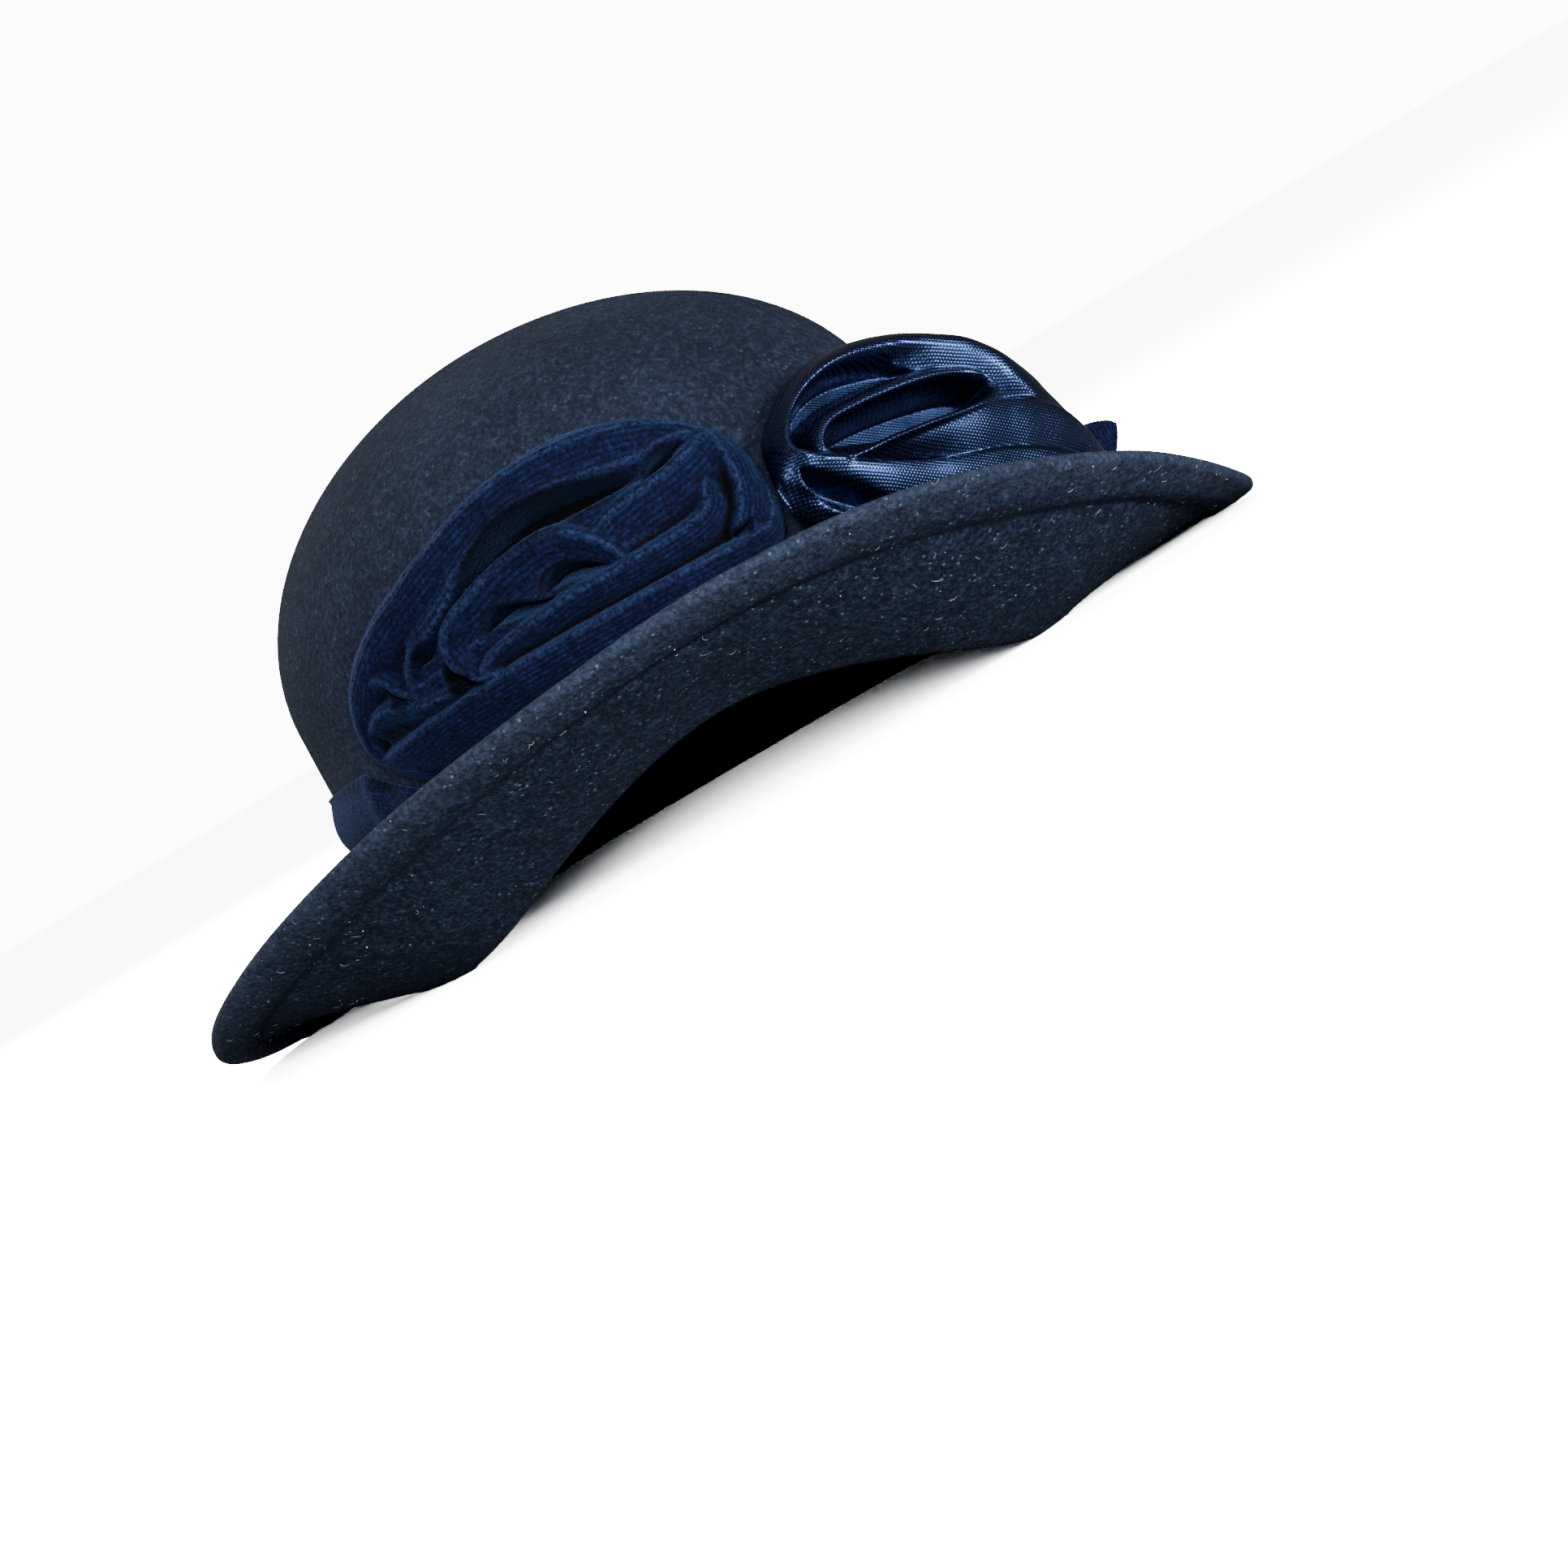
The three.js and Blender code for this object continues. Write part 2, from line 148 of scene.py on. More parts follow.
def smooth_rows(rows: Sequence[Sequence[float]], count: int, closed: bool = False) -> Array:
    """Runs a smooth curve through rows of numbers, evenly along the first two columns.

    Args:
        rows: One row of numbers for each control point.
        count: How many points to give back.
        closed: Whether the curve returns to its start.

    Returns:
        An array of count rows. A closed curve's last row is its first row again.
    """
    rows = np.array(rows, float)
    if closed:
        pad = (rows[-1:], rows[:1], rows[1:2])
    else:
        pad = (2 * rows[:1] - rows[1:2], 2 * rows[-1:] - rows[-2:-1])
    knots = np.vstack([pad[0], rows, *pad[1:]])
    spans = len(knots) - 3
    fine = np.linspace(0, spans, CURVE_STEPS * spans + 1)
    k = np.minimum(fine.astype(int), spans - 1)
    t = (fine - k)[:, None]
    a, b, c, d = knots[k], knots[k + 1], knots[k + 2], knots[k + 3]
    bend, twist = 2 * a - 5 * b + 4 * c - d, 3 * b - a - 3 * c + d
    curve = 0.5 * (2 * b + (c - a) * t + bend * t**2 + twist * t**3)
    steps = np.linalg.norm(np.diff(curve[:, :2], axis=0), axis=1)
    along = np.concatenate([[0], np.cumsum(steps)])
    even = np.linspace(0, along[-1], count)
    return np.stack([np.interp(even, along, column) for column in curve.T], axis=1)


def sheet_mesh(name: str, points: Array, uv: Array) -> Piece:
    """Makes a mesh from a lattice of points by moving a grid, and closes its seams and poles.

    Args:
        name: The new object's name.
        points: Rows by columns by three coordinates, in metres.
        uv: Rows by columns by two, the pattern's own coordinates in metres.

    Returns:
        The new object, at the origin, shaded smooth.
    """
    bm = bmesh.new()
    add_lattice(bm, points, uv)
    return finish_mesh(name, bm)


def add_lattice(bm: bmesh.types.BMesh, points: Array, uv: Array) -> None:
    """Adds one grid to a bmesh, moves it onto a lattice of points and merges what meets.

    Args:
        bm: The bmesh to add to.
        points: Rows by columns by three coordinates, in metres.
        uv: Rows by columns by two pattern coordinates, in metres.
    """
    rows, columns = points.shape[:2]
    layer = bm.loops.layers.uv.verify()
    made = bmesh.ops.create_grid(bm, x_segments=columns - 1, y_segments=rows - 1, size=0.5)["verts"]
    place = {}
    for vert in made:
        column = round((vert.co.x + 0.5) * (columns - 1))
        row = round((vert.co.y + 0.5) * (rows - 1))
        place[vert] = (row, column)
    for face in {face for vert in made for face in vert.link_faces}:
        for loop in face.loops:
            loop[layer].uv = uv[place[loop.vert]]
    for vert, key in place.items():
        vert.co = points[key]
    bmesh.ops.remove_doubles(bm, verts=made, dist=1e-6)


def finish_mesh(name: str, bm: bmesh.types.BMesh) -> Piece:
    """Turns a bmesh into an object with faces outwards.

    Args:
        name: The new object's name.
        bm: The bmesh, which is used up.

    Returns:
        The new object, linked to the scene.
    """
    bmesh.ops.recalc_face_normals(bm, faces=bm.faces)
    for face in bm.faces:
        face.smooth = True
    mesh = bpy.data.meshes.new(name)
    bm.to_mesh(mesh)
    bm.free()
    piece = bpy.data.objects.new(name, mesh)
    bpy.context.scene.collection.objects.link(piece)
    return piece


def dress(piece: Piece, material: Material, slot: Slot, *nodes: str) -> None:
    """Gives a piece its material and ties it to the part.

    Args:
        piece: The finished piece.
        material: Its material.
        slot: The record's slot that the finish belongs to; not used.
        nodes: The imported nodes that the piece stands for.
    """
    piece.data.materials.append(material)
    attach(piece, BODY)
    if nodes:
        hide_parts(*nodes)
    LOG.info("%s: %d faces", piece.name, len(piece.data.polygons))


def write_marks(piece: Piece, points: Array, shares: dict[str, Array], reach: float = math.inf) -> None:
    """Writes shares between 0 and 1 on a piece's vertices as named attributes.

    Args:
        piece: The piece, made from the points.
        points: Rows by columns by three, in metres.
        shares: Each attribute's name and its share at each point.
        reach: A vertex that is further than this from every point gets 0.
    """
    tree = KDTree(points[..., 0].size)
    for number, point in enumerate(points.reshape(-1, 3)):
        tree.insert(point, number)
    tree.balance()
    found = [tree.find(vertex.co) for vertex in piece.data.vertices]
    for name, share in shares.items():
        flat = share.ravel()
        layer = piece.data.attributes.new(name, "FLOAT", "POINT")
        layer.data.foreach_set("value", [float(flat[i]) if d < reach else 0.0 for _, i, d in found])


def uneven(points: Array, swells: Sequence[Swell]) -> Array:
    """Adds up slow swells of a surface, the same on every run.

    Args:
        points: Rows by columns by three, in metres.
        swells: The swells, from the widest on.

    Returns:
        The rise at each point, rows by columns, in millimetres.
    """
    total = np.zeros(points.shape[:2])
    for swell in swells:
        flat = points.reshape(-1, 3) / (swell.width * MM) + swell.seed
        values = [noise.noise(Vector(p)) for p in flat]
        total += np.array(values).reshape(total.shape) * swell.height
    return total


# ------------------------------------------------------------------ the felt
@dataclass(frozen=True)
class BrimRow:
    """The brim edge at one angle, in degrees and millimetres."""

    angle: float
    height: float
    width: float
    curl: float


@dataclass(frozen=True)
class Dent:
    """A soft dent or swell pressed into the brim by handling."""

    angle: float
    across: float
    spread_angle: float
    spread_across: float
    rise: float


@dataclass
class FeltBody:
    """The felt hood: crown, crease and swept brim with its turned-under hem.

    A row of the groove is a distance from the hem's inner line, as a share of the brim's width,
    and how much of the hem's extra thickness there is. The crease arches up on one side by
    arch_rise and opposite it by far_rise. The rows fields count the rows of points on each part
    of the felt, and the spans say from which share to which they run. The swells keep a share,
    crown_swell, on the crown and grow out over the brim. The fields of the painted highlight on
    the brim's rounded edge and the stitch field shape what the finish reads, in hem depths.
    """

    columns: int = 240
    thickness: float = 2.2
    hem_depth: float = 13.0
    hem_extra: float = 1.8
    groove: tuple[Pair, ...] = (
        (-0.045, -0.05), (-0.024, -0.14), (-0.006, -0.12), (0.012, 0.2), (0.035, 0.62), (0.07, 0.9),
    )
    half_length: float = 100.4
    half_width: float = 83.9
    wall_top: float = 73.0
    dome_rise: float = 67.0
    taper: float = 0.031
    crease_radius: float = 6.0
    crease_low: float = 0.7
    arch_angle: float = 50.0
    arch_span: float = 65.0
    arch_rise: float = 26.8
    far_rise: float = 12.8
    flat_below: float = 0.35
    brim: tuple[BrimRow, ...] = (
        BrimRow(-150, 3.0, 64.0, -0.8),
        BrimRow(-120, 3.0, 64.5, -0.8),
        BrimRow(-90, 3.0, 65.0, -0.8),
        BrimRow(-60, 3.0, 65.5, -0.8),
        BrimRow(-40, 3.2, 66.5, -0.6),
        BrimRow(-20, 10.5, 65.5, 0.0),
        BrimRow(0, 31.5, 62.0, 0.3),
        BrimRow(20, 48.5, 58.0, 0.35),
        BrimRow(40, 55.3, 57.0, 0.35),
        BrimRow(60, 52.8, 58.0, 0.35),
        BrimRow(80, 46.5, 59.0, 0.35),
        BrimRow(100, 36.0, 61.0, 0.3),
        BrimRow(120, 24.0, 61.0, 0.2),
        BrimRow(140, 13.0, 60.0, -0.2),
        BrimRow(165, 4.0, 62.0, -0.7),
    )
    dents: tuple[Dent, ...] = (
        Dent(47, 0.25, 9, 0.3, 1.8),
        Dent(74, 0.3, 12, 0.3, -1.6),
        Dent(18, 0.45, 11, 0.3, -1.4),
        Dent(150, 0.5, 14, 0.3, 2.0),
    )
    swells: tuple[Swell, ...] = (Swell(46.0, 3.0, 0.45), Swell(17.0, 9.0, 0.14))
    crown_swell: float = 0.35
    swell_growth: float = 4.0
    dome_rows: int = 40
    dome_from: float = 0.985
    wall_rows: int = 20
    wall_span: Pair = (0.95, 0.05)
    crease_rows: int = 14
    brim_rows: int = 36
    brim_span: Pair = (0.03, 0.91)
    hem_rows: int = 12
    hem_from: float = 0.45
    edge_rows: int = 9
    # How far in from the edge the painted highlight on the rounded edge reaches, and how it fades.
    edge_highlight_reach: float = 0.85
    edge_highlight_fade: float = 1.5
    stitch_width: float = 0.09
    top_inward: float = 99.0
    pattern_run: float = 0.5
    shift: Pair = (0.0, 0.0)

    def __post_init__(self) -> None:
        """Sets up the brim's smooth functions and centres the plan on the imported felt."""
        angles = [row.angle for row in self.brim]
        self.edge_height = closed_table(angles, [row.height for row in self.brim])
        self.brim_width = closed_table(angles, [row.width for row in self.brim])
        self.brim_curl = closed_table(angles, [row.curl for row in self.brim])
        low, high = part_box("felt_body")
        edge = self.brim_point(np.linspace(-180, 180, self.columns + 1), 1.0)
        middle = (edge.min(axis=0) + edge.max(axis=0)) / 2
        self.shift = (
            (low.x + high.x) / 2 / MM - middle[0],
            (low.y + high.y) / 2 / MM - middle[1],
        )

    def opening(self, angle: Array) -> tuple[Array, Array]:
        """Plan points of the head opening and the outward directions there.

        Args:
            angle: Angles in degrees.

        Returns:
            Points and unit directions, each as rows of three.
        """
        a = np.radians(angle)
        flat = np.zeros_like(a)
        point = np.stack([-self.half_width * np.sin(a), -self.half_length * np.cos(a), flat], axis=-1)
        point[..., 0] += self.shift[0]
        point[..., 1] += self.shift[1]
        outward = np.stack([-np.sin(a) / self.half_width, -np.cos(a) / self.half_length, flat], axis=-1)
        return point, outward / np.linalg.norm(outward, axis=-1, keepdims=True)

    def shrunk(self, angle: Array, share: Array) -> Array:
        """Plan points of the opening drawn in towards the crown's axis by a share."""
        axis = np.array([self.shift[0], self.shift[1], 0.0])
        return (self.opening(angle)[0] - axis) * share + axis

    def crease_height(self, angle: Array) -> Array:
        """Works out how high the crease lies.

        Args:
            angle: Angles in degrees.

        Returns:
            Heights in millimetres.
        """
        away = np.abs(turn_between(angle, self.arch_angle))
        near = self.crease_low + self.arch_rise * np.cos(np.pi / 2 * away / self.arch_span) ** 2
        share = (away - self.arch_span) / (180.0 - self.arch_span)
        far = self.crease_low + self.far_rise * np.sin(np.pi / 2 * share) ** 2
        return np.where(away < self.arch_span, near, far)

    def dent_rise(self, angle: Array, across: float) -> Array:
        """Works out how far the dents lift or sink the brim.

        Args:
            angle: Angles in degrees.
            across: One share across the brim.

        Returns:
            Rises in millimetres.
        """
        total = np.zeros_like(np.asarray(angle, float))
        for dent in self.dents:
            along = turn_between(angle, dent.angle) / dent.spread_angle
            over = (across - dent.across) / dent.spread_across
            total = total + dent.rise * np.exp(-(along**2) - over**2)
        return total

    def start_slope(self, angle: Array) -> Array:
        """Works out the brim's slope where it leaves the crease.

        Args:
            angle: Angles in degrees.

        Returns:
            Slopes in radians.
        """
        run = self.brim_width(angle) - self.crease_radius
        rise = self.edge_height(angle) - self.crease_height(angle)
        return np.arctan((1 - self.brim_curl(angle)) * rise / run)

    def brim_point(self, angle: Array, across: float) -> Array:
        """Places the middle of the felt on the brim.

        Args:
            angle: Angles in degrees.
            across: The share across the brim, 0 at the crease and 1 at the edge.

        Returns:
            Rows of three coordinates, in millimetres.
        """
        point, outward = self.opening(angle)
        slope = self.start_slope(angle)
        start = self.crease_radius * (1 + np.sin(slope))
        low = self.crease_height(angle) + self.crease_radius * (1 - np.cos(slope))
        curl = self.brim_curl(angle)
        share = (1 - curl) * across + curl * across**2
        out = start + (self.brim_width(angle) - start) * across
        point = point + outward * out[..., None]
        rise = self.dent_rise(angle, across)
        point[..., 2] = low + (self.edge_height(angle) - low) * share + rise
        return point

    def crease_point(self, angle: Array, turn: float) -> Array:
        """Places the middle of the felt on the rounded crease.

        Args:
            angle: Angles in degrees.
            turn: The share round the crease, 0 at the crown and 1 at the brim.

        Returns:
            Rows of three coordinates, in millimetres.
        """
        point, outward = self.opening(angle)
        swept = turn * (np.pi / 2 + self.start_slope(angle))
        point = point + outward * (self.crease_radius * (1 - np.cos(swept)))[..., None]
        rise = self.dent_rise(angle, 0.0) * turn**2
        point[..., 2] = self.crease_height(angle) + self.crease_radius * (1 - np.sin(swept)) + rise
        return point

    def wall_point(self, angle: Array, up: float) -> Array:
        """Places the middle of the felt on the crown's wall.

        Args:
            angle: Angles in degrees.
            up: The share up the wall, 0 at the crease and 1 at the dome.

        Returns:
            Rows of three coordinates, in millimetres.
        """
        foot = self.crease_height(angle) + self.crease_radius
        point = self.shrunk(angle, 1 - self.taper * up)
        point[..., 2] = foot + (self.wall_top - foot) * up
        return point

    def dome_point(self, angle: Array, climb: float) -> Array:
        """Places the middle of the felt on the dome.

        Args:
            angle: Angles in degrees.
            climb: The share up the dome, 0 at its foot and 1 at the top.

        Returns:
            Rows of three coordinates, in millimetres.
        """
        lift = climb * np.pi / 2
        point = self.shrunk(angle, (1 - self.taper) * math.cos(lift))
        point[..., 2] = self.wall_top + self.dome_rise * math.sin(lift)
        return point

    def on_crown(self, angle: Array, height: Array, off: Array) -> Array:
        """Places points off the middle of the crown's felt.

        Args:
            angle: Angles in degrees.
            height: Heights over the floor, in millimetres.
            off: Distances off the felt, in millimetres.

        Returns:
            Rows of three coordinates, in millimetres.
        """
        angle, height, off = np.broadcast_arrays(*(np.asarray(v, float) for v in (angle, height, off)))
        lift = np.arcsin(np.clip((height - self.wall_top) / self.dome_rise, 0, 1))
        foot = self.crease_height(angle) + self.crease_radius
        up = np.clip((height - foot) / (self.wall_top - foot), 0, 1)
        on_wall = height <= self.wall_top
        share = np.where(on_wall, 1 - self.taper * up, (1 - self.taper) * np.cos(lift))
        point = self.shrunk(angle, share[..., None])
        point = point + self.opening(angle)[1] * (off * np.cos(lift))[..., None]
        point[..., 2] = height + off * np.sin(lift)
        return point

    def middle_rows(self, angle: Array) -> tuple[Array, Array, Array]:
        """Places the middle of the felt from the top of the dome out to the brim edge.

        Args:
            angle: The columns' angles, in degrees.

        Returns:
            Rows by columns of points, the share of the hem and the share out on the brim.
        """
        hem_at = 1 - self.hem_depth / self.brim_width(angle)
        climbs = np.sin(np.linspace(self.dome_from, 0, self.dome_rows) * np.pi / 2)
        rows = [self.dome_point(angle, climb) for climb in climbs]
        rows += [self.wall_point(angle, up) for up in np.linspace(*self.wall_span, self.wall_rows)]
        rows += [self.crease_point(angle, turn) for turn in np.linspace(0, 1, self.crease_rows)]
        hem = [np.zeros_like(angle)] * len(rows)
        out = [np.zeros_like(angle)] * len(rows)
        brim = [(hem_at * share, 0.0) for share in np.linspace(*self.brim_span, self.brim_rows)]
        brim += [(hem_at + share, raised) for share, raised in self.groove]
        last = np.linspace(self.hem_from, 1, self.hem_rows)
        brim += [(hem_at + (1 - hem_at) * share, 1.0) for share in last]
        for across, raised in brim:
            rows.append(self.brim_at(angle, across))
            hem.append(np.full_like(angle, raised))
            out.append(across)
        return np.array(rows), np.array(hem), np.array(out)

    def brim_at(self, angle: Array, across: Array) -> Array:
        """Middle of the felt on the brim at a share that differs from column to column."""
        return np.array([self.brim_point(a, s) for a, s in zip(angle, across)])

    def outward_normals(self, middle: Array) -> Array:
        """Works out the directions square to the felt, towards its outer side.

        Args:
            middle: The middle of the felt, rows by columns by three.

        Returns:
            Unit directions in the same layout.
        """
        down = np.gradient(middle, axis=0)
        around = np.gradient(middle, axis=1)
        around[:, 0] = around[:, -1] = (middle[:, 1] - middle[:, -2]) / 2
        normal = np.cross(down, around)
        normal /= np.linalg.norm(normal, axis=-1, keepdims=True)
        on_wall = (self.dome_rows, 0)
        away = middle[on_wall] - [*self.shift, middle[on_wall][2]]
        return normal * np.sign(normal[on_wall] @ away)

    def rounded_edge(self, middle: Array, normal: Array) -> Array:
        """Places the rows that turn round the brim's edge.

        Args:
            middle: The middle of the felt, rows by columns by three.
            normal: The directions towards its outer side.

        Returns:
            Rows of points from the outer side to the inner side.
        """
        half = (self.thickness + self.hem_extra) / 2
        outward = middle[-1] - middle[-4]
        outward /= np.linalg.norm(outward, axis=-1, keepdims=True)
        centre = middle[-1] - normal[-1] * self.hem_extra / 2
        turns = np.radians(np.linspace(0, 180, self.edge_rows + 2)[1:-1])
        rows = [centre + half * (normal[-1] * math.cos(a) + outward * math.sin(a)) for a in turns]
        return np.array(rows)

    def build(self) -> Piece:
        """Builds the felt as one closed shell, outer side, rounded edge and inner side.

        Returns:
            The felt, with the attributes that its finish reads.
        """
        angle = np.linspace(-180, 180, self.columns + 1)
        middle, hem, out = self.middle_rows(angle)
        normal = self.outward_normals(middle)
        swell = uneven(middle * MM, self.swells)
        swell *= np.clip(out * self.swell_growth, self.crown_swell, 1)
        middle = middle + normal * swell[..., None]
        half = self.thickness / 2
        outer = middle + normal * half
        inner = middle - normal * (half + self.hem_extra * hem)[..., None]
        edge = self.rounded_edge(middle, normal)
        top = np.array([self.shift[0], self.shift[1], self.wall_top + self.dome_rise])
        cap = [np.tile(top + [0, 0, side * half], (1, len(angle), 1)) for side in (1, -1)]
        points = np.concatenate([cap[0], outer, edge, inner[::-1], cap[1]])
        points[..., 2] = np.where(points[..., 2] < self.flat_below, 0.0, points[..., 2])
        points *= MM
        points[:, -1] = points[:, 0]
        girth = np.tile(np.radians(angle) * self.half_length * MM, (len(points), 1))
        along = np.linspace(0, self.pattern_run, len(points))[:, None] * np.ones_like(girth)
        piece = sheet_mesh("felt", points, np.stack([girth, along], axis=-1))
        inward = (1 - out) * self.brim_width(angle)[None] / self.hem_depth
        self.mark(piece, points, len(outer) + 1, inward)
        return piece

    def mark(self, piece: Piece, points: Array, outer_rows: int, inward: Array) -> None:
        """Writes the attributes that the felt's finish reads: underside, edge and hem.

        Args:
            piece: The felt.
            points: Its lattice, in metres.
            outer_rows: How many rows of the lattice are on the outer side.
            inward: How far in from the edge each middle point lies, in hem depths.
        """
        rounded = np.zeros((self.edge_rows, points.shape[1]))
        top = np.full((1, points.shape[1]), self.top_inward)
        inward = np.concatenate([top, inward, rounded, inward[::-1], top])
        inner_rows = len(points) - outer_rows - self.edge_rows
        turning = np.linspace(0, 1, self.edge_rows)
        under = np.concatenate([np.zeros(outer_rows), turning, np.ones(inner_rows)])[:, None]
        # Painted highlight: this share pales the felt towards the brim's rounded edge.
        edge = np.clip(1 - inward / self.edge_highlight_reach, 0, 1) ** self.edge_highlight_fade
        hem = np.exp(-(((inward - 1.0) / self.stitch_width) ** 2)) * under
        sides = np.broadcast_to(under, inward.shape)
        write_marks(piece, points, {"underside": sides, "edge": edge, "hem": hem})


# ------------------------------------------------------------------ cloth folds
@dataclass(frozen=True)
class Fold:
    """One rounded fold of a wound strip: a crest with a flank on each side.

    Each row of the crest is u, v and rise, then how far the flanks reach on its left and right
    as it runs along, in millimetres. A flank's fullness is above 2 where it stays high and then
    falls steeply, and about 1 where it slopes off evenly. sharp is how tightly the crest turns,
    and foot is the share of the rise that is left at a flank's edge; right_foot is the right
    flank's own share where that differs. ribs is how strongly the cloth's ribs show.
    """

    crest: tuple[tuple[float, float, float, float, float], ...]
    left_full: float = 2.0
    right_full: float = 2.0
    sharp: float = 0.25
    foot: float = 0.38
    right_foot: float | None = None
    ribs: float = 0.0


@dataclass(frozen=True)
class Slit:
    """A dark gap between two folds: rows of u, v and half width in millimetres, and its depth.

    lip is how far the cloth swells beside it, and steep is how abruptly its sides fall. pointed
    is 0 for a flat bottom and nears 1 for one that narrows to a line.
    """

    line: tuple[Triple, ...]
    depth: float
    lip: float = 0.6
    steep: float = 6.0
    pointed: float = 0.4


@dataclass(frozen=True)
class Nearest:
    """Where points lie beside a curve: its index, their signed distance and how far past its end."""

    index: Array
    left: Array
    past: Array


def nearest(line: Array, u: Array, v: Array) -> Nearest:
    """Finds the nearest place on a curve for each point.

    Args:
        line: The curve's points, with u and v in the first two columns.
        u: The points' first coordinates.
        v: The points' second coordinates.

    Returns:
        Their places beside the curve; a distance above 0 is on its left as it runs along.
    """
    flat = np.stack([u.ravel(), v.ravel()], axis=1)
    index = np.empty(len(flat), int)
    for start in range(0, len(flat), SEARCH_BATCH):
        batch = slice(start, start + SEARCH_BATCH)
        index[batch] = ((flat[batch, None] - line[None, :, :2]) ** 2).sum(axis=2).argmin(axis=1)
    along = np.gradient(line[:, :2], axis=0)
    along /= np.linalg.norm(along, axis=1, keepdims=True)
    offset = flat - line[index, :2]
    left = offset[:, 1] * along[index, 0] - offset[:, 0] * along[index, 1]
    at_end = (index == 0) | (index == len(line) - 1)
    past = np.where(at_end, np.abs((offset * along[index]).sum(axis=1)), 0.0)
    return Nearest(index.reshape(u.shape), left.reshape(u.shape), past.reshape(u.shape))


@dataclass(frozen=True)
class Cloth:
    """What a relief gives at each point: height, pattern's place, and shares of the painted highlight
    along each crest and the painted shade in its hollows.
    """

    height: Array
    along: Array
    across: Array
    crest: Array
    hollow: Array


